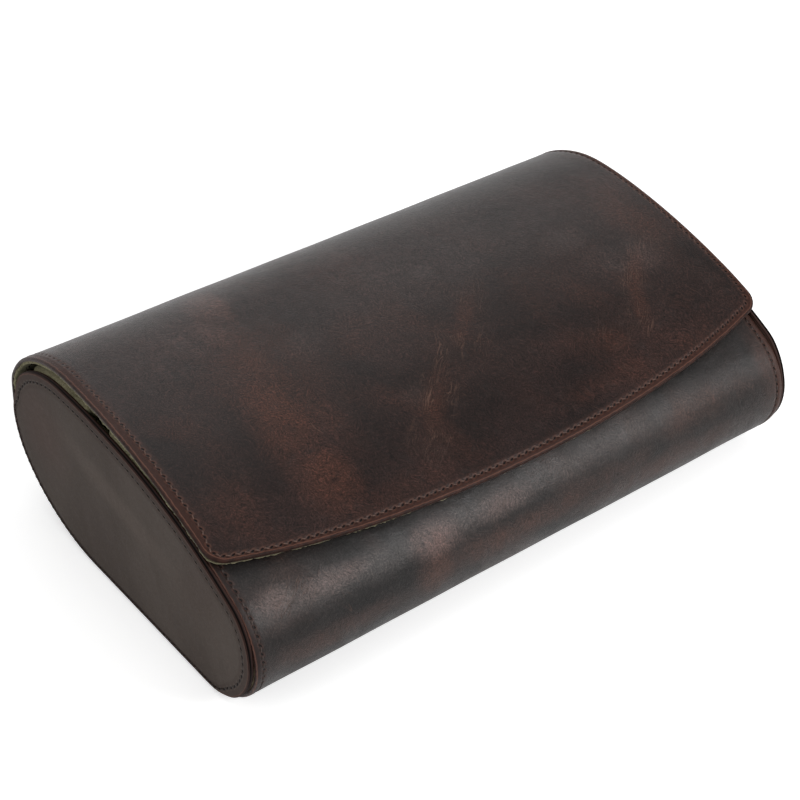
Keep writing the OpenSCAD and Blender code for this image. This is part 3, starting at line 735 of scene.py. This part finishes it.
def half_width(u):
    """Half the sheet's width: the wrap's behind, the flap's in front, a little more at the fold."""
    reach = np.where(u < -4, 30.0, 18.0)
    return WRAP_X + (FLAP_X - WRAP_X) * on_flap(u) + FOLD_SPREAD * hump(u, -4, reach)


def seam_share(ab):
    """How far in the seam lies at points of the outline: the sewing differs from side to side."""
    x, u = ab.T
    on_side = smoothstep(np.abs(x), 126, 146) * (1 - smoothstep(u, 172, 188))
    front = FRONT_SEAM - (FRONT_SEAM - CORNER_SEAM) * smoothstep(-x, 60, 130)
    flap = front + on_side * (np.where(x > 0, RIGHT_SEAM, LEFT_SEAM) - front)
    return WRAP_SEAM + (flap - WRAP_SEAM) * on_flap(u)


def back_outline(inset=0.0):
    """From the cut under the case, up the right side, along the flap's front edge, down the left."""
    front = flap_front_outline(inset)
    low, high = (np.arange(LINE.split, end - 1.0, 1.0) for end in (front[0, 1], front[-1, 1]))
    right, left = np.c_[half_width(low) - inset, low], np.c_[inset - half_width(high), high]
    loop = np.vstack([right, front, left[::-1]])
    x, u = loop.T
    spread = CORNER_SPREAD * smoothstep(u, 110, 185) + SIDE_SPREAD * hump(u, 78, 38)
    return loop + np.c_[spread * smoothstep(x, 60, 145), 0 * x]


def front_outline(inset=0.0):
    """From the cut under the case, down the left side on the flat sheet, along the lip, up the right."""
    x, lip, r = WRAP_X - inset, LINE.lip + inset, LIP_CORNER_R
    return np.vstack([[(-x, LINE.split)], arc((-x + r, lip + r), r, 180, 270, 40),
                      arc((x - r, lip + r), r, 270, 360, 40), [(x, LINE.split)]])


def leather_press(ab, d, off, e, side):
    """Grooves along the seam, a soft swell beside it, dents at the needle holes."""
    dent = 0.5 + 0.5 * np.cos(2 * np.pi * e / PITCH)
    groove = hump(off, 0, 0.6) * (0.16 + 0.26 * dent)
    return np.where(side == 0, groove - 0.16 * hump(off, -1.5, 0.9) - 0.07 * hump(off, 1.7, 0.9), 0)


def leather_sway(ab):
    """The slow unevenness of a sheet that has been handled."""
    x, u = ab.T
    edge = smoothstep(WRAP_X - np.abs(x), 0, 25)
    crown = CROWN * smoothstep(u, -12, 15) * (1 - smoothstep(u, 60, 110))
    curl = CORNER_CURL * hump(x, 150, 26) * hump(u, 196, 30)
    curl += FOLD_CURL * hump(x, -150, 22) * hump(u, -3, 14)
    wide = 0.16 * np.sin(x / 23 + 0.7 * np.sin(u / 31)) * np.sin(u / 27 + 1.3)
    small = 0.09 * np.sin(x / 11 + u / 17) * np.sin(u / 13 - x / 29)
    return edge * (wide + small) - crown - curl


def ragged(n, size, seed):
    """A rough, hairy unevenness for n points along an edge."""
    rng = np.random.default_rng(seed)
    total = np.zeros(n)
    for step, weight in ((1, 0.5), (3, 0.5), (8, 0.4)):
        knots = np.arange(0, n + step, step)
        total += weight * np.interp(np.arange(n), knots, rng.standard_normal(len(knots)))
    return size * total


def sheet(name, loop, material, t0, t1, **how):
    """A plate of the case's one long sheet, which has a flat cut under the case."""
    return plate(name, loop, LINE.place, material, t0, t1, closed=False, sway=leather_sway, **how)


fold_levels = np.concatenate([np.arange(LINE.split + 3, -15, 3.0), np.arange(-14, 14.1, 0.8),
                              np.arange(17, 222, 3.0)])
back_loop = resample(back_outline(), LOOP_STEP, closed=False)
back_flap, back_seam, back_e = sheet(
    "outer_leather_back_and_flap", back_loop, flap_leather, 0.0, LEATHER_T, rim=(0.8, 0.3), rings=RINGS,
    k=seam_share(back_loop), levels=fold_levels, press=leather_press)
front_loop = resample(front_outline(), LOOP_STEP, closed=False)
front_wall, front_seam, front_e = sheet(
    "outer_leather_front", front_loop, front_leather, 0.0, LEATHER_T, rim=(0.7, 0.3), rings=RINGS,
    k=WRAP_SEAM, press=leather_press)

hinge = np.array([0, *map(float, LINE.at(0.0, 0.0))])
fold_dir = np.array([0, -np.interp(0, LINE.u, LINE.nz), np.interp(0, LINE.u, LINE.ny)])


def settle(piece, slot, *nodes, folds=False):
    """Attaches a piece to the case, or for the fold fixes its place in the world, and hides the CAD parts it
    stands for; slot, what it is made of, is not used.
    """
    if folds:
        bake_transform(piece)
    else:
        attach(piece, "case")
    if nodes:
        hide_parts(*nodes)


settle(back_flap, "outer_leather", "outer_wrap", "flap_leather", folds=True)
settle(front_wall, "outer_leather", "outer_wrap")

# ---- suede lining ----
MAGNET_X, MAGNET_HEADING = (-95.0, 0.0, 95.0), 206.5
# the suede over a magnet: how far it rises, and the radii of the rise's top and foot
BOSS_RISE, BOSS_TOP_R, BOSS_FOOT_R = 2.3, 7.6, 11.4
LINING_RINGS = (0.8, 1.4, 2.2, 3.0, 3.5, 4.0, 4.5, 5.2, 6.3)
LINING_GROOVE, LINING_RIM = 0.35, (0.15, 0.45)
magnet_u = LINE.u_of(360 + MAGNET_HEADING)


def board_step(u):
    """The lining behind the fold lies deeper, by the board under it."""
    return (WRAP_T - FLAP_T) * (1 - on_flap(u))


def seam_press(ab, d, off, e, side):
    return np.where(side == 1, -LINING_GROOVE * hump(off, 0, 0.7), 0)


def lining_press(ab, d, off, e, side):
    """Thicker behind the fold, raised over the magnets, sunk along the seam."""
    away = [np.hypot(ab[:, 0] - x, ab[:, 1] - magnet_u) for x in MAGNET_X]
    boss = sum(1 - smoothstep(r, BOSS_TOP_R, BOSS_FOOT_R) for r in away)
    more = np.where(side == 1, board_step(ab[:, 1]) + BOSS_RISE * boss, 0)
    return more + seam_press(ab, d, off, e, side)


lining_loop = resample(back_outline(0.3), LOOP_STEP, closed=False)
lining_hair = 0.30 - 0.22 * smoothstep(lining_loop[:, 0], -20, 60)
lip_loop = resample(front_outline(0.1), LOOP_STEP, closed=False)
back_lining, _, _ = sheet(
    "suede_lining_back_and_flap", lining_loop, lining_suede, LEATHER_T, FLAP_T, rim=LINING_RIM,
    rings=LINING_RINGS, k=seam_share(lining_loop), grid=(3.2, 3.0), press=lining_press,
    levels=np.concatenate([fold_levels[fold_levels < 180], np.arange(182, 222, 2.2)]),
    rough=lining_hair * ragged(len(lining_loop), 1.0, 3))
front_lining, _, _ = sheet(
    "suede_lining_front", lip_loop, lining_suede, LEATHER_T, WRAP_T, rim=LINING_RIM, rings=LINING_RINGS,
    k=WRAP_SEAM, press=seam_press, rough=ragged(len(lip_loop), 0.2, 5))
settle(back_lining, "lining_suede", "wrap_lining", "wrap_board", "flap_lining", "flap_board",
       "flap_magnets", folds=True)
settle(front_lining, "lining_suede", "wrap_lining", "wrap_board", "lip_magnets")

# ---- end panels and the padded suede inside them ----
INSET_H, INSET_V = [0, 130, 180, 220, 260, 300, 360], [1.5, 0.4, 3.2, 0.4, 0.4, 1.5, 1.5]
END_RISE, NOTCH_DEPTH, HINGE_NOTCH_END, FINGER_HEADING, FINGER_W = 1.6, 10.0, 147.0, 185.9, 15.0
MOUTH_FROM = HINGE_HEADING - 4
PANEL_SEAM, PANEL_BACK_SEAM = 1.15, 0.36
# how far the panels' edges stand proud of the tube, by heading
PROUD_H = [15, 40, 60, 80, 94, 100, 106, 112, 188, 202, 212, 225, 250, 262, 290, 325, 345, 360]
LEFT_PROUD = [0, 0.4, 1.1, 1.4, 1.9, 2.6, 2.3, 0.6, 0, 2.0, 1.6, 1.2, 0.0, -0.9, -0.5, 0.7, 0.5, 0]
RIGHT_PROUD = [0, 1.0, 1.5, 1.5, 1.7, 1.2, 0.4, 0, 0, 3.2, 3.0, 1.4, 0.2, 0.3, 0.9, 0.8, 0.3, 0]
INNER_T = WRAP_T + SEAT_GAP


def clear_of_flap(h):
    opening = smoothstep(h, MOUTH_FROM - 9, MOUTH_FROM + 3) * (h < LIP_HEADING)
    return opening * (FLAP_T - np.interp(h, LIFT_H, LIFT_V) + 2 * SEAT_GAP)


def panel_inset(h):
    return np.maximum(np.interp(h, INSET_H, INSET_V), clear_of_flap(h))


def pad_inset(h):
    half = math.degrees(FINGER_W / 2 / RADII[TOP_ARC])
    mouth = (h > MOUTH_FROM) & (h < LIP_HEADING)
    notch = mouth & ((h < HINGE_NOTCH_END) | (np.abs(h - FINGER_HEADING) < half))
    share = np.interp(h, [LIP_HEADING - 5, LIP_HEADING - 1], [1, 0])
    top = np.maximum(INNER_T * (1 - share) + (panel_inset(h) - END_RISE) * share, clear_of_flap(h))
    return np.where(notch, NOTCH_DEPTH, np.where(mouth, top, INNER_T))


def turn_loop(inset):
    """The section's outline, sunk by inset(heading), anticlockwise from the middle of the flat bottom."""
    h = np.arange(0.05, 360, 0.1)
    pts = on_section(h, inset(h))
    mid = np.array([[(pts[0, 0] + pts[-1, 0]) / 2, pts[0, 1]]])
    return np.vstack([mid, pts])


def panel_outline(proud):
    """A panel's outline, which stands proud of the tube in places but not of the floor."""
    loop = soften(turn_loop(lambda h: panel_inset(h) - np.interp(h, PROUD_H, proud)), 14.0)
    return resample(np.maximum(loop, [-np.inf, 0.05]), LOOP_STEP)


def panel_share(loop):
    """How far in the panel's seam lies: close to the edge at the back, further in elsewhere."""
    out = -inward(loop)
    h = np.degrees(np.arctan2(out[:, 0], -out[:, 1])) % 360
    near = np.where(h > 220, smoothstep(h, 322, 350), 1 - smoothstep(h, 98, 128))
    return PANEL_SEAM + (PANEL_BACK_SEAM - PANEL_SEAM) * near


def end_place(side, x):
    return lambda ab, t: np.c_[side * (x - t), ab]


def stitch_place(side, loop, share):
    """Places stitches on a panel, raised where the seam runs close to its edge."""
    def place(ab, t):
        k = share[np.argmin(((loop - ab.mean(0)) ** 2).sum(1))]
        raised = 0.45 * (PANEL_SEAM - k) / (PANEL_SEAM - PANEL_BACK_SEAM)
        return np.c_[side * (CASE_L / 2 - t + raised), ab]
    return place


def panel_press(ab, d, off, e, side):
    groove = hump(off, 0, 0.6) * (0.26 + 0.14 * np.cos(2 * np.pi * e / PITCH))
    slow = 0.12 * np.sin(ab[:, 0] / 19 + 1) * np.sin(ab[:, 1] / 15) * smoothstep(d, 6, 30)
    return np.where(side == 0, groove - 0.12 * hump(off, -1.3, 0.8) + slow, 0)


def pad_press(ab, d, off, e, side):
    plump = 0.25 * np.sin(ab[:, 0] / 9) * np.sin(ab[:, 1] / 8 + 1)
    return np.where((side == 1) & (d > 3), plump, 0)


pad_loop = resample(soften(turn_loop(pad_inset), 6.0), LOOP_STEP)
panel_rows = []
for side, word, proud in ((-1, "left", LEFT_PROUD), (1, "right", RIGHT_PROUD)):
    panel_loop = panel_outline(proud)
    share = panel_share(panel_loop)
    panel, seam, e = plate(
        word + "_end_disc", panel_loop, end_place(side, CASE_L / 2), panel_leather, 0.0, PANEL_T,
        rim=(0.6, 0.4), rings=RINGS, k=share, grid=(4.0, 4.0), press=panel_press, slit=RIM_SLIT)
    panel_rows.append((seam, e, stitch_place(side, panel_loop, share)))
    pad, _, _ = plate(
        word + "_end_cushion", pad_loop, end_place(side, WRAP_X), lining_suede, 0.0, END_BOARD_T + END_PAD_T,
        rim=(2.3, 1.4), rings=(2.7,), grid=(4.0, 4.0), press=pad_press)
    settle(panel, "end_panel_leather", word + "_end_panel")
    settle(pad, "lining_suede", word + "_end_lining", word + "_end_board")

# ---- floor cushion and dividers ----
DIVIDER_R, FLOOR_RIM = 1.35, 1.2
HALF_H = (FLOOR_H + DIVIDER_TOP) / 2
SLOT_W = DIVIDER_T + SEAT_GAP
FLOOR_HALF = INSIDE_X - SEAT_GAP
CUSHION_GRID = (4.5, 4.5)


def cell_x(i):
    return -INSIDE_X + CELL_L / 2 + i * (CELL_L + DIVIDER_T)


def inner_wall(front):
    """The lining's face (y, z) between the floor and the dividers' top, from low to high."""
    head = np.arange(359.9, 200, -0.2) if front else np.arange(0.1, 110, 0.2)
    y, z = on_section(head, INNER_T).T
    kept = (z > FLOOR_H + 0.2) & (z < DIVIDER_TOP - 0.2)
    low, high = ([(np.interp(level, z, y), level)] for level in (FLOOR_H, DIVIDER_TOP))
    return np.vstack([low, np.c_[y, z][kept], high])


def floor_press(ab, d, off, e, side):
    """The cushion's underside follows the tube. Its face dips where the dividers stand on it."""
    head = np.concatenate([np.arange(290, 360, 0.5), np.arange(0.5, 70, 0.5)])
    y, z = on_section(head, INNER_T).T
    under = np.maximum(FLOOR_H - np.interp(ab[:, 1], y, z) - FLOOR_RIM, 0)
    plump = -0.5 * smoothstep(np.abs(ab[:, 1]), 1.5, 14) * smoothstep(d, 0, 12)
    wave = 0.25 * np.sin(ab[:, 0] / 9.0) * np.sin(ab[:, 1] / 8.0 + 1)
    return np.where(side == 1, under, np.where(d > 2, plump + wave, 0))


def divider_press(ab, d, off, e, side):
    wave = 0.12 * np.sin(ab[:, 0] / 10.0 + 2) * np.sin(ab[:, 1] / 9.0)
    return np.where(d > 2, wave, 0)


def divider(node, loop, place):
    loop = resample(soften(np.array(loop), 2.6), 1.0)
    piece, _, _ = plate("suede_" + node, loop, place, lining_suede, 0.0, DIVIDER_T,
                        rim=(DIVIDER_R, DIVIDER_R), rings=(2.0, 3.2), grid=CUSHION_GRID, press=divider_press)
    settle(piece, "lining_suede", node)


front_low, back_low = inner_wall(True)[0, 0], inner_wall(False)[0, 0]
floor_loop = np.array([(-FLOOR_HALF, front_low), (FLOOR_HALF, front_low), (FLOOR_HALF, back_low),
                       (-FLOOR_HALF, back_low)])
floor_pad, _, _ = plate(
    "suede_floor_cushion", resample(soften(floor_loop, 3.0), 1.5), lambda ab, t: np.c_[ab, FLOOR_H - t],
    lining_suede, 0.0, FLOOR_RIM, rim=(0.8, 0.4), rings=(1.6, 4.0), grid=CUSHION_GRID, press=floor_press)
settle(floor_pad, "lining_suede", "floor_pad")

cross_x = [cell_x(i) + (CELL_L + DIVIDER_T) / 2 for i in range(CELLS - 1)]
long_loop = [(-FLOOR_HALF, FLOOR_H), (FLOOR_HALF, FLOOR_H), (FLOOR_HALF, DIVIDER_TOP)]
for x in reversed(cross_x):
    left, right = x - SLOT_W / 2, x + SLOT_W / 2
    long_loop += [(right, DIVIDER_TOP), (right, HALF_H), (left, HALF_H), (left, DIVIDER_TOP)]
long_loop.append((-FLOOR_HALF, DIVIDER_TOP))
divider("centre_divider", long_loop, lambda ab, t: np.c_[ab[:, 0], t - DIVIDER_T / 2, ab[:, 1]])

half_slot = SLOT_W / 2
cross_slot = [(-half_slot, FLOOR_H), (-half_slot, HALF_H), (half_slot, HALF_H), (half_slot, FLOOR_H)]
cross_loop = np.vstack([cross_slot, inner_wall(False), inner_wall(True)[::-1]])
for i, x in enumerate(cross_x):
    divider("cross_divider_%d" % (i + 1), cross_loop, lambda ab, t, x=x: np.c_[x - DIVIDER_T / 2 + t, ab])

# ---- watch pillows: a suede sleeve over foam, with an end cap sewn in at each side ----
PILLOW_L = CELL_L - 2 * PILLOW_SIDE_GAP
PILLOW_Z = FLOOR_H + SEAT_GAP + PILLOW_H / 2
PILLOW_POWER, PILLOW_DRAW = 2.4, 0.22
BLANK_L, CAP_SEAM, CAP_SIZE, SLEEVE_SIZE = 0.97, 0.86, 0.925, 0.935
SEAM_X = BLANK_L * CAP_SEAM * PILLOW_L / 2
# each filling's seed and pressure
PILLOW_FILLS = ((11, 4.0), (12, 4.5), (13, 3.6))
VOXEL, SWELL_CAP, SWELL_FRAMES = 2.6, 2.5, 20
CLOTH = {"quality": 6, "mass": 0.25, "tension_stiffness": 12, "compression_stiffness": 12,
         "bending_stiffness": 0.4, "shrink_min": -0.035, "use_pressure": True, "vertex_group_mass": "seam"}
PIPING_R, PIPING_OUT, SEWING_IN = 0.85, 0.35, 2.4


def ring_of(share, size, n=96):
    """A pillow's section, a rounded oval, at a share of its half length."""
    a = np.arange(n) * 2 * np.pi / n
    c, s = np.cos(a), np.sin(a)
    power = 2 / PILLOW_POWER
    return np.c_[np.full(n, share * PILLOW_L / 2), size * np.sign(c) * np.abs(c) ** power * PILLOW_D / 2,
                 size * np.sign(s) * np.abs(s) ** power * PILLOW_H / 2]


def pillow_blank(seed):
    """The cut shape before it is filled: straight sleeve, flat caps, both a little small."""
    bend = np.random.default_rng(seed).uniform(-1, 1, 4)
    shares = [-1, -0.97, -CAP_SEAM, -0.6, -0.3, 0, 0.3, 0.6, CAP_SEAM, 0.97, 1]
    sizes = [0.5, 0.80, CAP_SIZE] + [SLEEVE_SIZE] * 5 + [CAP_SIZE, 0.80, 0.5]
    rings = [ring_of(h * BLANK_L, k) for h, k in zip(shares, sizes)]
    verts = np.vstack(rings)
    verts[:, 1] += 0.25 * bend[0] * np.sin(verts[:, 0] / 7 + bend[1] * 3)
    verts[:, 2] += 0.25 * bend[2] * np.sin(verts[:, 0] / 8 + bend[3] * 3)
    return verts, tube_faces(len(rings), len(rings[0]))


def points_of(mesh):
    co = np.empty(len(mesh.vertices) * 3, np.float32)
    mesh.vertices.foreach_get("co", co)
    return co.reshape(-1, 3) / MM


def set_points(mesh, mm):
    mesh.vertices.foreach_set("co", (mm * MM).astype(np.float32).ravel())
    mesh.update()


def evaluated(obj):
    return obj.evaluated_get(bpy.context.evaluated_depsgraph_get())


def apply_modifiers(obj):
    mesh = bpy.data.meshes.new_from_object(evaluated(obj))
    obj.modifiers.clear()
    obj.data = mesh


def fill_pillow(obj, pressure):
    """The stuffed shape: cloth swells under pressure between the cap seams, which hold."""
    remesh = obj.modifiers.new("remesh", "REMESH")
    remesh.mode, remesh.voxel_size = "VOXEL", VOXEL * MM
    apply_modifiers(obj)
    start = points_of(obj.data)
    held = obj.vertex_groups.new(name="seam")
    near = np.abs(np.abs(start[:, 0]) - SEAM_X) < 1.4
    held.add([int(i) for i in np.where(near)[0]], 1.0, "REPLACE")
    cloth = obj.modifiers.new("cloth", "CLOTH")
    for key, value in CLOTH.items():
        setattr(cloth.settings, key, value)
    cloth.settings.uniform_pressure_force = pressure
    cloth.settings.effector_weights.gravity = 0
    cloth.collision_settings.use_self_collision = False
    cloth.point_cache.frame_start, cloth.point_cache.frame_end = 1, SWELL_FRAMES
    scene = bpy.context.scene
    for frame_number in range(1, SWELL_FRAMES + 1):
        scene.frame_set(frame_number)
    end = points_of(evaluated(obj).data)
    obj.modifiers.clear()
    scene.frame_set(1)
    move = end - start
    far = np.linalg.norm(move, axis=1)
    move *= (np.minimum(far, SWELL_CAP) / np.maximum(far, 1e-9))[:, None]
    set_points(obj.data, start + move)


def pillow_limit(p):
    """How much of the CAD pillow's section a point fills: over 1 it would leave its space."""
    share = np.clip(np.abs(p[:, 0]) / (PILLOW_L / 2), 0, 1)
    size = 1 - PILLOW_DRAW * share ** 8
    r = np.abs(p[:, 1] / (PILLOW_D / 2)) ** PILLOW_POWER + np.abs(p[:, 2] / (PILLOW_H / 2)) ** PILLOW_POWER
    return r ** (1 / PILLOW_POWER) / size


def seam_ring(p, side):
    """The cap seam's line (y, z) on a filled pillow, all the way round."""
    near = p[np.abs(p[:, 0] - side * SEAM_X) < 1.8][:, 1:]
    guide = ring_of(0, CAP_SIZE, 120)[:, 1:]
    facing = guide / np.linalg.norm(guide, axis=1)[:, None]
    turn = near / np.linalg.norm(near, axis=1)[:, None]
    reach = np.array([(near @ f)[np.argsort(-(turn @ f))[:5]].mean() for f in facing])
    for _ in range(8):
        reach = (np.roll(reach, 1) + 2 * reach + np.roll(reach, -1)) / 4
    return resample(facing * reach[:, None], 0.9)


def filled_pillow(seed, pressure):
    """One stuffed pillow about the origin: its mesh and its two seam rings."""
    obj = new_mesh("pillow_%d" % seed, *pillow_blank(seed), pillow_suede)
    fill_pillow(obj, pressure)
    p = points_of(obj.data)
    over = np.maximum(pillow_limit(p) / 1.01, 1)
    p[:, 1:] /= over[:, None]
    set_points(obj.data, p)
    rings = {side: seam_ring(p, side) for side in (-1, 1)}
    obj.modifiers.new("smooth", "SUBSURF").levels = 1
    apply_modifiers(obj)
    mesh = obj.data
    bpy.data.objects.remove(obj)
    return mesh, rings


def cord(rings, r):
    """A round cord along each closed ring of points about x: vertices and faces."""
    verts, faces, base = [], [], 0
    sides = 8
    for ring in rings:
        out = ring - ring.mean(0)
        out /= np.linalg.norm(out, axis=1)[:, None]
        n = len(ring)
        for a in np.arange(sides) * 2 * np.pi / sides:
            verts.append(ring + r * (np.cos(a) * out + np.sin(a) * np.array([1.0, 0, 0])))
        for k in range(sides):
            for i in range(n):
                p, q = base + k * n + i, base + k * n + (i + 1) % n
                up = ((k + 1) % sides - k) * n
                faces.append((p, q, q + up, p + up))
        base += n * sides
    return np.vstack(verts), faces


def ring_place(ring, at, turn):
    """Stitch coordinates on a pillow: x along it and the length round its seam."""
    loop = np.vstack([ring, ring[:1]])
    length = lengths(loop)
    n = -inward(ring)
    n = np.vstack([n, n[:1]])

    def place(ab, t):
        y, z, ny, nz = (np.interp(ab[:, 1], length, v) for v in (*loop.T, *n.T))
        return np.c_[ab[:, 0], y - t * ny, z - t * nz] * [turn, turn, 1] + at
    return place, length


pillow_fillings = [filled_pillow(*fill_of) for fill_of in PILLOW_FILLS]


def make_pillow(name, i, back):
    """The pillow in cell i of a row, with its piping and sewing. Neighbours differ in filling and turn."""
    source, rings = pillow_fillings[(2 * i + back) % len(pillow_fillings)]
    turn = 1 if (i + back) % 2 else -1
    at = np.array([cell_x(i), (2 * back - 1) * ROW_Y, PILLOW_Z])
    apart = [100.0 * i, 200.0 * back, 0]
    mesh = source.copy()
    local = points_of(mesh) * [turn, turn, 1]
    set_points(mesh, local + at)
    give_vectors(mesh, "flat", local + apart)
    shade_smooth(mesh)
    pillow = link("suede_" + name, mesh)
    cords, seams = [], []
    for side, ring in rings.items():
        out = ring + PIPING_OUT * -inward(ring)
        cords.append(np.c_[np.full(len(out), side * SEAM_X), out] * [turn, turn, 1] + at)
        place, length = ring_place(ring, at, turn)
        seams.append((np.c_[np.full(len(length), side * (SEAM_X - SEWING_IN)), length], length, place))
    verts, faces = cord(cords, PIPING_R)
    piping = new_mesh("piping_" + name, verts, faces, piping_suede, flat=verts + apart)
    sewing = stitches("thread_" + name, seams, dark_thread, half=1.2, r=0.3, slant=0.0, depth=-0.45)
    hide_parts(name)
    for piece in (pillow, piping, sewing):
        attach(piece, name + "_body")


for row, back in (("front", 0), ("back", 1)):
    for i in range(CELLS):
        make_pillow("%s_pillow_%d" % (row, i + 1), i, back)

# ---- thread ----
LINING_THREAD_T = 0.3 - LINING_GROOVE


def on_flap_lining(ab, t):
    """Places stitches on the lining's face, a little out of its groove."""
    return LINE.place(ab, FLAP_T + board_step(ab[:, 1]) + LINING_THREAD_T - t)


def on_front_lining(ab, t):
    return LINE.place(ab, WRAP_T + LINING_THREAD_T - t)


fold_thread = stitches("thread_back_and_flap", [(back_seam, back_e, LINE.place)], brown_thread)
lining_thread = stitches("thread_under_flap", [(back_seam, back_e, on_flap_lining)], dark_thread)
case_rows = [(front_seam, front_e, LINE.place), *panel_rows, (front_seam, front_e, on_front_lining)]
case_thread = stitches("thread_front_and_ends", case_rows, dark_thread)
settle(fold_thread, "outer_leather", folds=True)
settle(lining_thread, "lining_suede", folds=True)
settle(case_thread, "outer_leather")

# ---- floor, light and camera, in metres and radians except the floor ----
FLOOR_SIDE, FLOOR_Z, FLOOR_LIFT, WORLD_LIGHT = 8000, -0.2, 0.47, 0.42
LAMPS = (
    # name, place, target, size, power
    ("top_lamp", (-0.1, 0.1, 1.3), (0, 0, 0.05), (1.2, 1.0), 5.5),
    ("front_lamp", (0.5, -0.95, 0.62), (0, -0.05, 0.04), (0.5, 0.5), 10),
    ("left_lamp", (-1.1, -0.2, 0.7), (0, 0, 0.05), (0.8, 0.8), 3.5),
)
CAMERA_TURN, CAMERA_RISE, CAMERA_AWAY, CAMERA_AIM = -0.658, 0.639, 0.8429, (0, 0, 0.040)
LENS, SENSOR, SHIFT = 82.1, 36, (-0.0104, 0.0074)


def area_lamp(name, at, to, size, power):
    lamp = bpy.data.lights.new(name, "AREA")
    lamp.shape = "RECTANGLE"
    lamp.size, lamp.size_y = size
    lamp.energy = power
    obj = link(name, lamp)
    obj.location = at
    obj.rotation_euler = (Vector(to) - Vector(at)).to_track_quat("-Z", "Y").to_euler()


def make_floor():
    """A pale floor, lifted to white for the camera where no shadow falls."""
    g = new_graph("floor")
    white = g.node("BsdfDiffuse", {"Color": (0.9, 0.9, 0.9, 1), "Roughness": 0.0})
    seen = g.mul(g.node("LightPath").outputs["Is Camera Ray"], FLOOR_LIFT)
    lift = g.node("Emission", {"Color": (1, 1, 1, 1), "Strength": seen})
    g.show(g.node("AddShader", {0: white.outputs[0], 1: lift.outputs[0]}))
    corners = np.array([(-1, -1, 0), (1, -1, 0), (1, 1, 0), (-1, 1, 0)]) * FLOOR_SIDE / 2 + [0, 0, FLOOR_Z]
    new_mesh("floor", corners, [(0, 1, 2, 3)], g.owner)


def make_world():
    """White to the camera and in reflections, dimmer as a light."""
    world = bpy.data.worlds.new("studio")
    bpy.context.scene.world = world
    g = Graph(world)
    path = g.node("LightPath").outputs
    through = g.math("MAXIMUM", path["Is Glossy Ray"], path["Is Transmission Ray"])
    seen = g.math("MAXIMUM", path["Is Camera Ray"], through)
    strength = g.node("MapRange", {"Value": seen, "To Min": WORLD_LIGHT, "To Max": 1.0}).outputs[0]
    g.show(g.node("Background", {"Strength": strength}))


def make_camera():
    right = Vector((math.cos(CAMERA_TURN), math.sin(CAMERA_TURN), 0))
    level = math.cos(CAMERA_RISE)
    back = Vector((right.y * level, -right.x * level, math.sin(CAMERA_RISE)))
    data = bpy.data.cameras.new("camera")
    data.sensor_width, data.lens = SENSOR, LENS
    data.shift_x, data.shift_y = SHIFT
    cam = link("camera", data)
    cam.matrix_world = Matrix((right, back.cross(right), back)).transposed().to_4x4()
    cam.location = Vector(CAMERA_AIM) + back * CAMERA_AWAY
    bpy.context.scene.camera = cam


make_floor()
make_world()
for lamp_spec in LAMPS:
    area_lamp(*lamp_spec)
make_camera()
bpy.context.scene.view_settings.view_transform = "Standard"
